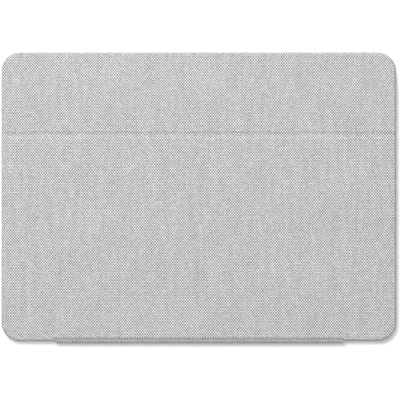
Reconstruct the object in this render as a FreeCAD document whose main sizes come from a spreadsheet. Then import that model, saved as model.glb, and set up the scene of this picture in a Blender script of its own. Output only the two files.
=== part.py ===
"""A tablet keyboard case: a tray with a folding stand, a fabric spine and a slim keyboard."""
import FreeCAD
import Part
import Sketcher
import math
import os

doc = FreeCAD.newDocument("tablet_keyboard_case")
sheet = doc.addObject("Spreadsheet::Sheet", "Sizes")

# Driving sizes in millimetres
SIZES = (
    # The tablet that the tray is made for, and the room around it
    ("tablet_width", "248.6"), ("tablet_depth", "179.5"), ("tablet_height", "7.0"),
    ("side_clearance", "0.3"), ("height_clearance", "0.2"), ("bay_radius", "9.0"),
    # Tray: hard shell, soft bumper with a lip over the screen's edge
    ("shell_wall", "1.7"), ("shell_end_wall", "2.05"), ("bumper", "1.2"), ("back_wall", "1.4"),
    ("lip", "1.4"), ("lip_overlap", "2.0"), ("edge_inset", "0.3"), ("corner_radius", "12.0"),
    # Outer fabric, linings and boards
    ("fabric", "0.5"), ("lining", "0.4"), ("board", "1.1"), ("stand_gap", "0.3"),
    ("skin_round", "0.9"), ("board_round", "0.5"), ("bond", "0.03"),
    # Crease that the stand folds at
    ("crease_from_top", "53.4"), ("crease_half", "3.1"), ("crease_flat", "1.6"), ("crease_dip", "0.35"),
    ("crease_bevel", "0.5"), ("lining_setback", "2.6"), ("axis_depth", "1.7"),
    # Friction hinges of the stand
    ("hinge_inset", "47.8"), ("knuckle_length", "10.0"), ("knuckle_gap", "0.1"), ("knuckle_radius", "0.75"),
    ("pin_radius", "0.4"), ("running_gap", "0.03"), ("leaf", "0.5"), ("leaf_start", "0.95"),
    ("leaf_reach", "13.0"), ("knuckle_room", "0.3"), ("rivet_radius", "0.8"), ("rivet_place", "11.0"),
    ("rivet_reach", "9.0"),
    # Magnets that hold the stand and the lid
    ("keeper_inset", "57.8"), ("keeper_reach", "30.0"), ("keeper_radius", "5.0"), ("keeper_height", "0.4"),
    ("disc_radius", "4.0"), ("disc_height", "0.8"),
    ("lid_magnet_inset", "55.8"), ("lid_magnet_length", "16.0"), ("lid_magnet_width", "1.4"),
    ("lid_magnet_height", "0.9"), ("deck_magnet_width", "4.0"), ("deck_magnet_height", "2.5"),
    # Fabric spine between the keyboard and the tray
    ("spine_inset", "34.35"), ("spine_board", "0.6"), ("spine_lining", "0.3"), ("spine_hem", "0.6"),
    ("spine_taper", "1.8"), ("flap_width", "3.3"), ("flap_drop", "0.4"),
    # Openings and buttons in the sides of the tray
    ("port_width", "14.0"), ("port_height", "5.0"), ("speaker_place", "38.0"), ("speaker_width", "26.0"),
    ("speaker_height", "2.0"), ("button_width", "12.0"), ("button_height", "3.0"), ("button_proud", "0.25"),
    ("button_gap", "0.15"), ("button_flange", "1.0"), ("flange_depth", "0.6"), ("button_travel", "0.3"),
    ("volume_up_inset", "43.8"), ("volume_down_inset", "63.8"), ("power_inset", "30.3"),
    # Keyboard body
    ("lid_gap", "0.3"), ("base_floor", "0.8"), ("base_wall", "2.0"), ("deck", "1.0"), ("deck_round", "0.4"),
    ("deck_margin", "5.7"), ("rear_margin", "13.0"),
    # Keys and what carries them
    ("row_pitch", "17.2"), ("function_pitch", "11.0"), ("key_gap", "2.0"), ("key_clearance", "0.3"),
    ("cap_height", "1.7"), ("cap_proud", "1.1"), ("cap_radius", "1.6"), ("cap_round", "0.35"),
    ("backplate", "0.4"), ("membrane", "0.3"), ("plate_margin", "0.5"), ("switch_height", "3.2"),
    ("dome_radius", "2.1"), ("dome_top", "1.1"), ("small_dome", "0.65"),
    ("link_length", "11.0"), ("link_width", "9.0"), ("link_bar", "0.8"), ("link_thick", "0.6"),
    ("link_gap", "0.15"), ("small_link", "0.6"),
    # Trackpad
    ("trackpad_width", "104.0"), ("trackpad_margin", "8.0"), ("trackpad_thick", "1.4"),
    ("trackpad_drop", "0.1"), ("trackpad_gap", "0.35"), ("trackpad_radius", "4.0"), ("trackpad_round", "0.2"),
    ("pivot_radius", "0.6"), ("pivot_reach", "1.2"), ("pivot_length", "9.0"), ("pivot_proud", "3.0"),
    ("pivot_seat", "0.05"), ("switch_width", "7.0"), ("switch_gap", "0.5"),
    # Electronics in the keyboard
    ("battery_margin", "4.5"), ("battery_height", "2.8"), ("part_gap", "0.05"),
    ("circuit_length", "52.0"), ("circuit_width", "8.0"), ("circuit_thick", "0.8"),
    ("socket_inset", "23.8"), ("socket_width", "9.0"), ("socket_depth", "7.3"), ("socket_height", "3.2"),
    ("socket_wall", "0.35"), ("socket_mouth", "6.2"), ("tongue_width", "6.7"), ("tongue_height", "0.7"),
    ("tongue_reach", "4.6"), ("light_inset", "57.8"), ("light_radius", "0.9"),
    ("slider_inset", "23.8"), ("slider_width", "4.0"), ("slider_height", "1.6"), ("slider_travel", "2.0"),
    ("slider_gap", "0.15"), ("slider_recess", "0.15"), ("switch_body_width", "9.0"),
    ("switch_body_depth", "3.5"), ("switch_body_height", "2.6"),
    # Screws that hold the deck to the base
    ("screw_radius", "0.75"), ("screw_head", "1.5"), ("screw_head_height", "0.4"), ("boss_radius", "2.0"),
    ("screw_gap", "0.05"), ("rear_screw_place", "30.0"), ("front_screw_place", "40.0"),
    ("corner_screw_inset", "22.8"), ("screw_inset", "3.4"),
)
for row, (alias, size) in enumerate(SIZES, start=1):
    sheet.set("A%d" % row, alias)
    sheet.set("B%d" % row, size)
    sheet.setAlias("B%d" % row, alias)
doc.recompute()


def names(text):
    """Write an expression with plain size names as one that reads the spreadsheet's cells."""
    words = {alias for alias, size in SIZES}
    out = []
    for word in text.replace("(", " ( ").replace(")", " ) ").split():
        out.append("Sizes." + word if word in words else word)
    return "(" + " ".join(out) + ")"


def value(expression):
    """The number that an expression stands for."""
    return float(sheet.evalExpression(expression))


def add(*terms):
    """The sum of some expressions."""
    return "(" + " + ".join(terms) + ")"


def less(first, *terms):
    """An expression with others taken off."""
    return "(" + " - ".join((first,) + terms) + ")"


def half(term):
    """Half of an expression."""
    return "(" + term + " / 2)"


def minus(term):
    """An expression with its sign turned."""
    return "(-1 * " + term + ")"


# Outline of the closed case, seen from above
CASE_WIDTH = names("tablet_width + 2 * ( side_clearance + shell_wall + bumper + edge_inset )")
CASE_DEPTH = names("tablet_depth + 2 * ( side_clearance + shell_end_wall + bumper + edge_inset )")
SPINE = names("fabric + spine_board + spine_lining")
MIDDLE = half(SPINE)
REAR = less(MIDDLE, half(CASE_DEPTH))
FRONT = add(MIDDLE, half(CASE_DEPTH))
INSET = names("edge_inset")
BODY_WIDTH = less(CASE_WIDTH, INSET, INSET)
BODY_DEPTH = less(CASE_DEPTH, INSET, INSET)
BODY_RADIUS = names("corner_radius - edge_inset")
BODY_REAR = add(REAR, INSET)
BODY_FRONT = less(FRONT, INSET)

# Levels from the resting face up
Z_BASE = names("fabric")
Z_FLOOR = add(Z_BASE, names("base_floor"))
Z_MEMBRANE = add(Z_FLOOR, names("backplate"))
Z_SWITCH = add(Z_MEMBRANE, names("membrane"))
Z_CAP = add(Z_SWITCH, names("switch_height"))
Z_DECK_TOP = add(Z_CAP, names("cap_height - cap_proud"))
Z_DECK = less(Z_DECK_TOP, names("deck"))
Z_TRAY = add(Z_DECK_TOP, names("lid_gap"))
Z_SCREEN = add(Z_TRAY, names("lip"))
Z_LINING = add(Z_SCREEN, names("tablet_height + height_clearance"))
Z_WALL = add(Z_LINING, names("lining"))
Z_BACK = add(Z_WALL, names("back_wall"))
Z_STAND = add(Z_BACK, names("stand_gap"))
Z_BOARD = add(Z_STAND, names("lining"))
Z_SKIN = add(Z_BOARD, names("board"))
Z_TOP = add(Z_SKIN, names("fabric"))
Z_MID_BAY = add(Z_SCREEN, half(names("tablet_height")))

# Fold lines
CREASE = less(FRONT, names("crease_from_top"))
Z_AXIS = less(Z_TOP, names("axis_depth"))
SPINE_AXIS = less(REAR, half(SPINE))
SPINE_FACE = less(REAR, SPINE)
Z_LOWER_FOLD = half(SPINE)
Z_FLAP_TOP = less(Z_TOP, names("flap_drop"))
Z_FLAP = less(Z_FLAP_TOP, names("fabric"))
Z_UPPER_FOLD = less(Z_FLAP_TOP, half(SPINE))
FLAP_END = add(SPINE_FACE, names("flap_width"))
NOTCH_END = add(FLAP_END, names("stand_gap"))
SPINE_LENGTH = less(CASE_WIDTH, names("2 * spine_inset"))
NOTCH_WIDTH = add(SPINE_LENGTH, names("2 * stand_gap"))

ORIGIN = "(0)"

# Places along the case, set in from its side so that they move with it
SIDE = half(CASE_WIDTH)
SOCKET_X = less(SIDE, names("socket_inset"))
SLIDER_X = less(SIDE, names("slider_inset"))
LID_MAGNET_X = less(SIDE, names("lid_magnet_inset"))
KEEPER_X = less(SIDE, names("keeper_inset"))
HINGE_X = less(SIDE, names("hinge_inset"))
VOLUME_UP_X = less(SIDE, names("volume_up_inset"))
VOLUME_DOWN_X = less(SIDE, names("volume_down_inset"))
POWER_Y = less(FRONT, names("power_inset"))


def new_body(label):
    """A body for one node of the assembly."""
    body = doc.addObject("PartDesign::Body", label)
    body.Label = label
    body.AllowCompound = True
    return body


def new_sketch(body, at, role):
    """A sketch on one of the body's own planes, moved by three expressions."""
    sketch = body.newObject("Sketcher::SketchObject", "outline")
    plane = next(item for item in body.Origin.OriginFeatures if item.Role == role)
    sketch.AttachmentSupport = [(plane, "")]
    sketch.MapMode = "FlatFace"
    for axis, place in zip("xyz", at):
        sketch.setExpression("AttachmentOffset.Base." + axis, place)
    return sketch


def bind(sketch, name, constraint, expression):
    """Add a constraint under a name and tie its size to an expression."""
    index = sketch.addConstraint(constraint)
    sketch.renameConstraint(index, name)
    sketch.setExpression("Constraints." + name, expression)


def vector(x, y):
    """A point of a sketch."""
    return FreeCAD.Vector(x, y, 0)


def rectangle(body, at, span):
    """A plain rectangle about a point, lying flat."""
    sketch = new_sketch(body, at, "XY_Plane")
    x = value(span[0]) / 2
    y = value(span[1]) / 2
    corners = (vector(-x, -y), vector(x, -y), vector(x, y), vector(-x, y))
    for index in range(4):
        sketch.addGeometry(Part.LineSegment(corners[index], corners[(index + 1) % 4]), False)
    for index in range(4):
        sketch.addConstraint(Sketcher.Constraint("Coincident", index, 2, (index + 1) % 4, 1))
        sketch.addConstraint(Sketcher.Constraint("Vertical" if index % 2 else "Horizontal", index))
    sketch.addConstraint(Sketcher.Constraint("Symmetric", 0, 1, 2, 1, -1, 1))
    bind(sketch, "width", Sketcher.Constraint("DistanceX", 0, 1, 0, 2, 2 * x), span[0])
    bind(sketch, "depth", Sketcher.Constraint("DistanceY", 1, 1, 1, 2, 2 * y), span[1])
    return sketch


def rounded(body, at, span, radius):
    """A rectangle with round corners about a point, lying flat."""
    sketch = new_sketch(body, at, "XY_Plane")
    x = value(span[0]) / 2
    y = value(span[1]) / 2
    r = value(radius)
    ends = ((x, -y + r, x, y - r), (x - r, y, -x + r, y), (-x, y - r, -x, -y + r), (-x + r, -y, x - r, -y))
    middles = ((x - r, y - r), (-x + r, y - r), (-x + r, -y + r), (x - r, -y + r))
    for index in range(4):
        x0, y0, x1, y1 = ends[index]
        sketch.addGeometry(Part.LineSegment(vector(x0, y0), vector(x1, y1)), False)
        circle = Part.Circle(vector(*middles[index]), FreeCAD.Vector(0, 0, 1), r)
        start = math.pi / 2 * index
        sketch.addGeometry(Part.ArcOfCircle(circle, start, start + math.pi / 2), False)
    for index in range(8):
        sketch.addConstraint(Sketcher.Constraint("Tangent", index, 2, (index + 1) % 8, 1))
    for index in (0, 4):
        sketch.addConstraint(Sketcher.Constraint("Vertical", index))
        sketch.addConstraint(Sketcher.Constraint("Horizontal", index + 2))
    for index in (3, 5, 7):
        sketch.addConstraint(Sketcher.Constraint("Equal", 1, index))
    sketch.addConstraint(Sketcher.Constraint("Symmetric", 1, 3, 5, 3, -1, 1))
    bind(sketch, "corner", Sketcher.Constraint("Radius", 1, r), radius)
    bind(sketch, "width", Sketcher.Constraint("DistanceX", 4, 1, 0, 1, 2 * x), span[0])
    bind(sketch, "depth", Sketcher.Constraint("DistanceY", 6, 1, 2, 1, 2 * y), span[1])
    return sketch


def disc(body, at, radius, role="XY_Plane"):
    """A circle about a point of a plane."""
    sketch = new_sketch(body, at, role)
    sketch.addGeometry(Part.Circle(vector(0, 0), FreeCAD.Vector(0, 0, 1), value(radius)), False)
    sketch.addConstraint(Sketcher.Constraint("Coincident", 0, 3, -1, 1))
    bind(sketch, "round", Sketcher.Constraint("Radius", 0, value(radius)), radius)
    return sketch


def section(body, at, corners):
    """A closed outline of straight lines in the plane across the case, through corners in y and z."""
    sketch = new_sketch(body, at, "YZ_Plane")
    points = [vector(value(y), value(z)) for y, z in corners]
    count = len(points)
    for index in range(count):
        sketch.addGeometry(Part.LineSegment(points[index], points[(index + 1) % count]), False)
    for index in range(count):
        sketch.addConstraint(Sketcher.Constraint("Coincident", index, 2, (index + 1) % count, 1))
    for index, (y, z) in enumerate(corners):
        along = Sketcher.Constraint("DistanceX", -1, 1, index, 1, points[index].x)
        upward = Sketcher.Constraint("DistanceY", -1, 1, index, 1, points[index].y)
        bind(sketch, "along%d" % index, along, y)
        bind(sketch, "upward%d" % index, upward, z)
    return sketch


def grow(body, sketch, length):
    """Add material from a sketch along its normal."""
    pad = body.newObject("PartDesign::Pad", "grow")
    pad.Profile = sketch
    pad.setExpression("Length", length)
    doc.recompute()
    return pad


def cut(body, sketch, length):
    """Take material away from a sketch's level upwards, and see that some went."""
    before = body.Shape.Volume
    pocket = body.newObject("PartDesign::Pocket", "cut")
    pocket.Profile = sketch
    pocket.Reversed = True
    pocket.setExpression("Length", length)
    doc.recompute()
    if not body.Shape.Volume < before:
        raise RuntimeError("a cut in %s takes nothing away" % body.Label)
    return pocket


def mirror(body, features, role="YZ_Plane"):
    """Repeat features on the other side of a plane of the body."""
    copy = body.newObject("PartDesign::Mirrored", "other_side")
    copy.Originals = features
    plane = next(item for item in body.Origin.OriginFeatures if item.Role == role)
    copy.MirrorPlane = (plane, [""])
    body.Tip = copy
    doc.recompute()
    return copy


def run(body, feature, sketch, count, pitch):
    """Repeat a feature along a row of keys, towards the typist's right."""
    row_of_keys = body.newObject("PartDesign::LinearPattern", "row")
    row_of_keys.Originals = [feature]
    row_of_keys.Direction = (sketch, ["H_Axis"])
    row_of_keys.Reversed = True
    row_of_keys.Occurrences = count
    row_of_keys.setExpression("Length", "%d * %s" % (count - 1, pitch))
    body.Tip = row_of_keys
    doc.recompute()
    return row_of_keys


def soften(body, radius, chosen):
    """Round the edges that a test picks."""
    tip = body.Tip
    edges = ["Edge%d" % (index + 1) for index, edge in enumerate(tip.Shape.Edges) if chosen(edge)]
    fillet = body.newObject("PartDesign::Fillet", "soft_edge")
    fillet.Base = (tip, edges)
    fillet.setExpression("Radius", radius)
    body.Tip = fillet
    doc.recompute()
    return fillet


def level(edge, z):
    """Whether an edge lies flat at a height."""
    box = edge.BoundBox
    return abs(box.ZMin - z) < 1e-5 and abs(box.ZMax - z) < 1e-5


def outer_plate(label, z, height, inset):
    """A plate with the outline of the closed case, drawn in by an amount."""
    body = new_body(label)
    span = (less(CASE_WIDTH, inset, inset), less(CASE_DEPTH, inset, inset))
    grow(body, rounded(body, (ORIGIN, MIDDLE, z), span, less(names("corner_radius"), inset)), height)
    return body


def clear_below(body, y, z, height):
    """Take away all of a plate that lies nearer the spine than a line."""
    depth = add(less(y, REAR), "1")
    strip = rectangle(body, (ORIGIN, less(y, half(depth)), z), (add(CASE_WIDTH, "2"), depth))
    return cut(body, strip, height)


def clear_above(body, y, z, height):
    """Take away all of a plate that lies further from the spine than a line."""
    depth = add(less(FRONT, y), "1")
    strip = rectangle(body, (ORIGIN, add(y, half(depth)), z), (add(CASE_WIDTH, "2"), depth))
    return cut(body, strip, height)


def notch(body, z, height):
    """Cut back a stand layer along the spine, where the spine's flap comes up."""
    depth = add(less(NOTCH_END, REAR), "1")
    return cut(body, rectangle(body, (ORIGIN, less(NOTCH_END, half(depth)), z), (NOTCH_WIDTH, depth)), height)


nodes = []

# Keyboard: cloth under the base, a shallow base shell and a deck that closes it
keyboard_fabric = outer_plate("keyboard_fabric", ORIGIN, names("fabric"), INSET)
nodes.append(keyboard_fabric)

CAVITY_WIDTH = less(BODY_WIDTH, names("2 * base_wall"))
CAVITY_DEPTH = less(BODY_DEPTH, names("2 * base_wall"))
CAVITY_REAR = add(BODY_REAR, names("base_wall"))
CAVITY_FRONT = less(BODY_FRONT, names("base_wall"))
KEYS_REAR = add(BODY_REAR, names("rear_margin"))
KEYS_DEPTH = names("function_pitch + 5 * row_pitch")
PALM_REAR = add(KEYS_REAR, KEYS_DEPTH)
KEY_UNITS = 14.5
KEYS_WIDTH = less(BODY_WIDTH, names("2 * deck_margin"))
PITCH = "(%s / %s)" % (KEYS_WIDTH, KEY_UNITS)
TRACKPAD_DEPTH = less(BODY_FRONT, PALM_REAR, names("2 * trackpad_margin"))
TRACKPAD_REAR = add(PALM_REAR, names("trackpad_margin"))
TRACKPAD_Y = add(TRACKPAD_REAR, half(TRACKPAD_DEPTH))
Z_TRACKPAD = less(Z_DECK_TOP, names("trackpad_drop + trackpad_thick"))
PIVOT_Y = add(TRACKPAD_REAR, names("pivot_reach"))
Z_PIVOT = less(Z_DECK, names("pivot_radius + 2 * pivot_seat"))
REAR_SCREW_Y = add(CAVITY_REAR, names("screw_inset"))
FRONT_SCREW_Y = less(CAVITY_FRONT, names("screw_inset"))
SCREWS = (
    (names("rear_screw_place"), REAR_SCREW_Y),
    (names("front_screw_place"), FRONT_SCREW_Y),
    (less(SIDE, names("corner_screw_inset")), FRONT_SCREW_Y),
)
SOCKET_Y = add(BODY_REAR, half(names("socket_depth")))
Z_SOCKET = add(Z_FLOOR, names("part_gap"))
Z_SLIDER = add(Z_FLOOR, names("part_gap"), half(names("switch_body_height")))

base_shell = outer_plate("base_shell", Z_BASE, less(Z_DECK, Z_BASE), INSET)
cavity = (CAVITY_WIDTH, CAVITY_DEPTH)
cavity_radius = less(BODY_RADIUS, names("base_wall"))
cut(base_shell, rounded(base_shell, (ORIGIN, MIDDLE, Z_FLOOR), cavity, cavity_radius), less(Z_DECK, Z_FLOOR))
for screw_x, screw_y in SCREWS:
    head_hole = disc(base_shell, (screw_x, screw_y, Z_BASE), names("screw_head + screw_gap"))
    head_cut = cut(base_shell, head_hole, names("screw_head_height + screw_gap"))
    shank_hole = disc(base_shell, (screw_x, screw_y, Z_BASE), names("screw_radius + screw_gap"))
    shank_cut = cut(base_shell, shank_hole, names("base_floor"))
    mirror(base_shell, [head_cut, shank_cut])
socket_hole = (names("socket_width + 2 * part_gap"), names("2 * base_wall"))
hole_at = (SOCKET_X, BODY_REAR, Z_FLOOR)
cut(base_shell, rectangle(base_shell, hole_at, socket_hole), names("socket_height + 2 * part_gap"))
slider_hole = (names("slider_width + slider_travel + 2 * slider_gap"), names("2 * base_wall"))
slider_at = (less(names("slider_travel / 2"), SLIDER_X), BODY_REAR)
slider_low = less(Z_SLIDER, names("slider_height / 2 + slider_gap"))
slot = rectangle(base_shell, slider_at + (slider_low,), slider_hole)
cut(base_shell, slot, names("slider_height + 2 * slider_gap"))
pivot_rib = rectangle(
    base_shell,
    (names("trackpad_width / 2 + pivot_proud / 2"), PIVOT_Y, Z_FLOOR),
    (names("pivot_proud"), names("4 * pivot_radius")))
rib = grow(base_shell, pivot_rib, less(Z_PIVOT, names("pivot_radius + pivot_seat"), Z_FLOOR))
mirror(base_shell, [rib])
nodes.append(base_shell)

# Rows of keys in the order from the spine to the palm rest: how many keys, and how many pitches wide each is
HALF_KEYS = "half"
KEY_ROWS = (
    ("function_keys", ((1, 1.25), (12, 1), (1, 1.25))),
    ("number_keys", ((13, 1), (1, 1.5))),
    ("upper_letter_keys", ((1, 1.5), (13, 1))),
    ("home_letter_keys", ((1, 1.75), (11, 1), (1, 1.75))),
    ("lower_letter_keys", ((1, 2.25), (10, 1), (1, 2.25))),
    ("bottom_row_keys", ((3, 1), (1, 1.25))),
    ("space_bar", ((1, 5),)),
    ("bottom_row_keys", ((1, 1.25), (2, 1), (HALF_KEYS, 1), (1, 1))),
)


def row_y(row):
    """The middle of a key row, from the spine to the palm rest."""
    if row == 0:
        return add(KEYS_REAR, half(names("function_pitch")))
    return add(KEYS_REAR, names("function_pitch"), "%s * %s" % (row - 0.5, names("row_pitch")))


def key_runs():
    """Every run of equal keys: its node, number of keys, middle of its first key, and span of one key."""
    runs = []
    start = 0.0
    row = -1
    for node, parts in KEY_ROWS:
        if start in (0.0, KEY_UNITS):
            start = 0.0
            row += 1
        for count, width in parts:
            x = "(%s * %s)" % (KEY_UNITS / 2 - start - width / 2, PITCH)
            y = row_y(row)
            wide = less("(%s * %s)" % (width, PITCH), names("key_gap"))
            deep = names("function_pitch - key_gap" if row == 0 else "row_pitch - key_gap")
            if count == HALF_KEYS:
                short = less(half(deep), names("key_clearance"), half(names("key_gap / 2")))
                shift = less(half(deep), half(short))
                runs.append((node, 1, x, less(y, shift), (wide, short)))
                runs.append((node, 1, x, add(y, shift), (wide, short)))
                start += width
            else:
                runs.append((node, count, x, y, (wide, deep)))
                start += width * count
    return runs


RUNS = key_runs()

deck_plate = outer_plate("deck_plate", Z_DECK, names("deck"), INSET)
deck_top = value(Z_DECK_TOP)
soften(deck_plate, names("deck_round"), lambda edge: level(edge, deck_top))
Z_BOSS = add(Z_FLOOR, names("part_gap"))
for screw_x, screw_y in SCREWS:
    boss = grow(deck_plate, disc(deck_plate, (screw_x, screw_y, Z_BOSS), names("boss_radius")),
                less(Z_DECK, Z_BOSS))
    bore = cut(deck_plate, disc(deck_plate, (screw_x, screw_y, Z_BOSS), names("screw_radius + bond")),
               less(Z_DECK, Z_BOSS))
    mirror(deck_plate, [boss, bore])
LIGHT_AT = (less(SIDE, names("light_inset")), REAR_SCREW_Y)
Z_OPENING = less(Z_DECK, names("key_clearance"))
OPENING = names("deck + 2 * key_clearance")
opening_bodies = {}
for node, count, x, y, span in RUNS:
    if node not in opening_bodies:
        opening_bodies[node] = new_body(node + "_openings")
    body = opening_bodies[node]
    opening = tuple(add(side, names("2 * key_clearance")) for side in span)
    outline = rounded(body, (x, y, Z_OPENING), opening, names("cap_radius + key_clearance"))
    feature = grow(body, outline, OPENING)
    if count > 1:
        run(body, feature, outline, count, PITCH)
palm_openings = new_body("palm_openings")
trackpad_hole = (names("trackpad_width + 2 * trackpad_gap"), add(TRACKPAD_DEPTH, names("2 * trackpad_gap")))
hole_radius = names("trackpad_radius + trackpad_gap")
pad_opening = rounded(palm_openings, (ORIGIN, TRACKPAD_Y, Z_OPENING), trackpad_hole, hole_radius)
grow(palm_openings, pad_opening, OPENING)
grow(palm_openings, disc(palm_openings, LIGHT_AT + (Z_OPENING,), names("light_radius + part_gap")), OPENING)
deck_openings = doc.addObject("Part::Compound", "deck_openings")
deck_openings.Links = list(opening_bodies.values()) + [palm_openings]
keyboard_deck = doc.addObject("Part::Cut", "keyboard_deck")
keyboard_deck.Label = "keyboard_deck"
keyboard_deck.Base = deck_plate
keyboard_deck.Tool = deck_openings
doc.recompute()
nodes.append(keyboard_deck)

deck_screws = new_body("deck_screws")
for screw_x, screw_y in SCREWS:
    head = grow(deck_screws, disc(deck_screws, (screw_x, screw_y, Z_BASE), names("screw_head")),
                names("screw_head_height"))
    shank = grow(deck_screws, disc(deck_screws, (screw_x, screw_y, Z_BASE), names("screw_radius")),
                 less(Z_DECK, Z_BASE, names("part_gap")))
    mirror(deck_screws, [head, shank])
nodes.append(deck_screws)

# Keys, each row one node of loose caps
key_bodies = {}
for node, count, x, y, span in RUNS:
    if node not in key_bodies:
        key_bodies[node] = new_body(node)
    body = key_bodies[node]
    outline = rounded(body, (x, y, Z_CAP), span, names("cap_radius"))
    feature = grow(body, outline, names("cap_height"))
    if count > 1:
        run(body, feature, outline, count, PITCH)
cap_top = value(add(Z_CAP, names("cap_height")))
for body in key_bodies.values():
    soften(body, names("cap_round"), lambda edge: level(edge, cap_top))
    nodes.append(body)

# Plate, membrane, domes and scissor links under the keys
KEYS_Y = add(KEYS_REAR, half(KEYS_DEPTH))
PLATE = (add(KEYS_WIDTH, names("2 * plate_margin")), add(KEYS_DEPTH, names("2 * plate_margin")))
key_backplate = new_body("key_backplate")
grow(key_backplate, rectangle(key_backplate, (ORIGIN, KEYS_Y, Z_FLOOR), PLATE), names("backplate"))
nodes.append(key_backplate)
membrane_sheet = new_body("membrane_sheet")
grow(membrane_sheet, rectangle(membrane_sheet, (ORIGIN, KEYS_Y, Z_MEMBRANE), (KEYS_WIDTH, KEYS_DEPTH)),
     names("membrane"))
nodes.append(membrane_sheet)


def supports():
    """Where a dome and a pair of links stand: node, middle, and how much smaller they are on short keys."""
    places = []
    pitch = value(PITCH)
    full = value(names("row_pitch - key_gap"))
    for node, count, x, y, span in RUNS:
        small = value(span[1]) < 0.8 * full
        wide = value(span[0])
        aside = (0.0,)
        if wide > 3 * pitch:
            aside = (-0.3 * wide, 0.3 * wide)
        for key in range(count):
            for shift in aside:
                places.append((node, value(x) - key * pitch + shift, value(y), small))
    return places


def place_primitive(feature, x, y, z):
    """Put a primitive on the membrane at a key's middle."""
    feature.Placement = FreeCAD.Placement(FreeCAD.Vector(x, y, z), FreeCAD.Rotation())


def link_frame(length, width, lean, x, y):
    """One flat frame of a scissor pair, leaning over its middle."""
    bar = value(names("link_bar")) * (length / value(names("link_length")))
    thick = value(names("link_thick"))
    outer = Part.makeBox(width, length, thick, FreeCAD.Vector(-width / 2, -length / 2, -thick / 2))
    inner = Part.makeBox(width - 2 * bar, length - 2 * bar, thick,
                         FreeCAD.Vector(bar - width / 2, bar - length / 2, -thick / 2))
    frame = outer.cut(inner)
    frame.rotate(FreeCAD.Vector(0, 0, 0), FreeCAD.Vector(1, 0, 0), lean)
    frame.translate(FreeCAD.Vector(x, y, value(add(Z_SWITCH, half(names("switch_height"))))))
    return frame


def lean_for(length):
    """The angle at which a link of some length just reaches from the membrane to the cap."""
    rise = value(names("switch_height - 2 * part_gap - link_thick"))
    return math.degrees(math.asin(rise / length))


domes = []
links = {}
z_dome = value(Z_SWITCH)
for node, x, y, small in supports():
    factor = value(names("small_dome")) if small else 1.0
    cone = doc.addObject("Part::Cone", "dome")
    cone.setExpression("Radius1", "%s * %s" % (factor, names("dome_radius")))
    cone.setExpression("Radius2", "%s * %s" % (factor, names("dome_top")))
    cone.setExpression("Height", names("switch_height"))
    place_primitive(cone, x, y, z_dome)
    domes.append(cone)
    size = value(names("link_length")) * (value(names("small_link")) if small else 1.0)
    bar = value(names("link_bar")) * (size / value(names("link_length")))
    inside = 2 * (bar + value(names("link_gap")))
    width = value(names("link_width"))
    pair = links.setdefault(node, [])
    pair.append(link_frame(size, width, lean_for(size), x, y))
    pair.append(link_frame(size - inside, width - inside, -lean_for(size - inside), x, y))
rubber_domes = doc.addObject("Part::Compound", "rubber_domes")
rubber_domes.Label = "rubber_domes"
rubber_domes.Links = domes
nodes.append(rubber_domes)
for node, frames in links.items():
    label = node.replace("_keys", "") + "_links"
    group = doc.addObject("Part::Feature", label)
    group.Label = label
    group.Shape = Part.makeCompound(frames)
    nodes.append(group)

# Trackpad on two pivots at its rear edge, with a switch under its front edge
trackpad = new_body("trackpad")
outline = rounded(trackpad, (ORIGIN, TRACKPAD_Y, Z_TRACKPAD), (names("trackpad_width"), TRACKPAD_DEPTH),
                  names("trackpad_radius"))
grow(trackpad, outline, names("trackpad_thick"))
trackpad_top = value(add(Z_TRACKPAD, names("trackpad_thick")))
soften(trackpad, names("trackpad_round"), lambda edge: level(edge, trackpad_top))
pivot_start = names("trackpad_width / 2 + pivot_proud - pivot_length")
pivot = grow(trackpad, disc(trackpad, (PIVOT_Y, Z_PIVOT, pivot_start), names("pivot_radius"), "YZ_Plane"),
             names("pivot_length"))
mirror(trackpad, [pivot])
nodes.append(trackpad)

trackpad_switch = new_body("trackpad_switch")
switch_at = (ORIGIN, less(add(TRACKPAD_REAR, TRACKPAD_DEPTH), names("switch_width")), Z_BOSS)
grow(trackpad_switch, rectangle(trackpad_switch, switch_at, (names("switch_width"), names("switch_width"))),
     less(Z_TRACKPAD, Z_BOSS, names("switch_gap")))
nodes.append(trackpad_switch)

# Batteries beside the trackpad
BATTERY_WIDTH = less(half(CAVITY_WIDTH), names("trackpad_width / 2 + pivot_proud + 2 * battery_margin"))
BATTERY_X = less(half(CAVITY_WIDTH), names("battery_margin"), half(BATTERY_WIDTH))
BATTERY_DEPTH = less(TRACKPAD_DEPTH, names("2 * battery_margin"))
for label, side in (("battery_left", BATTERY_X), ("battery_right", minus(BATTERY_X))):
    battery = new_body(label)
    cell = rounded(battery, (side, TRACKPAD_Y, Z_BOSS), (BATTERY_WIDTH, BATTERY_DEPTH),
                   names("battery_height / 2"))
    grow(battery, cell, names("battery_height"))
    nodes.append(battery)

# Controller board with the charge socket and the status light, and the slide switch at the other end
controller_board = new_body("controller_board")
CIRCUIT_END = less(SOCKET_X, half(names("socket_width")), names("part_gap"))
CIRCUIT_Y = add(CAVITY_REAR, half(names("circuit_width")), names("part_gap"))
circuit_at = (less(CIRCUIT_END, half(names("circuit_length"))), CIRCUIT_Y, Z_BOSS)
circuit = rectangle(controller_board, circuit_at, (names("circuit_length"), names("circuit_width")))
grow(controller_board, circuit, names("circuit_thick"))
nodes.append(controller_board)

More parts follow.
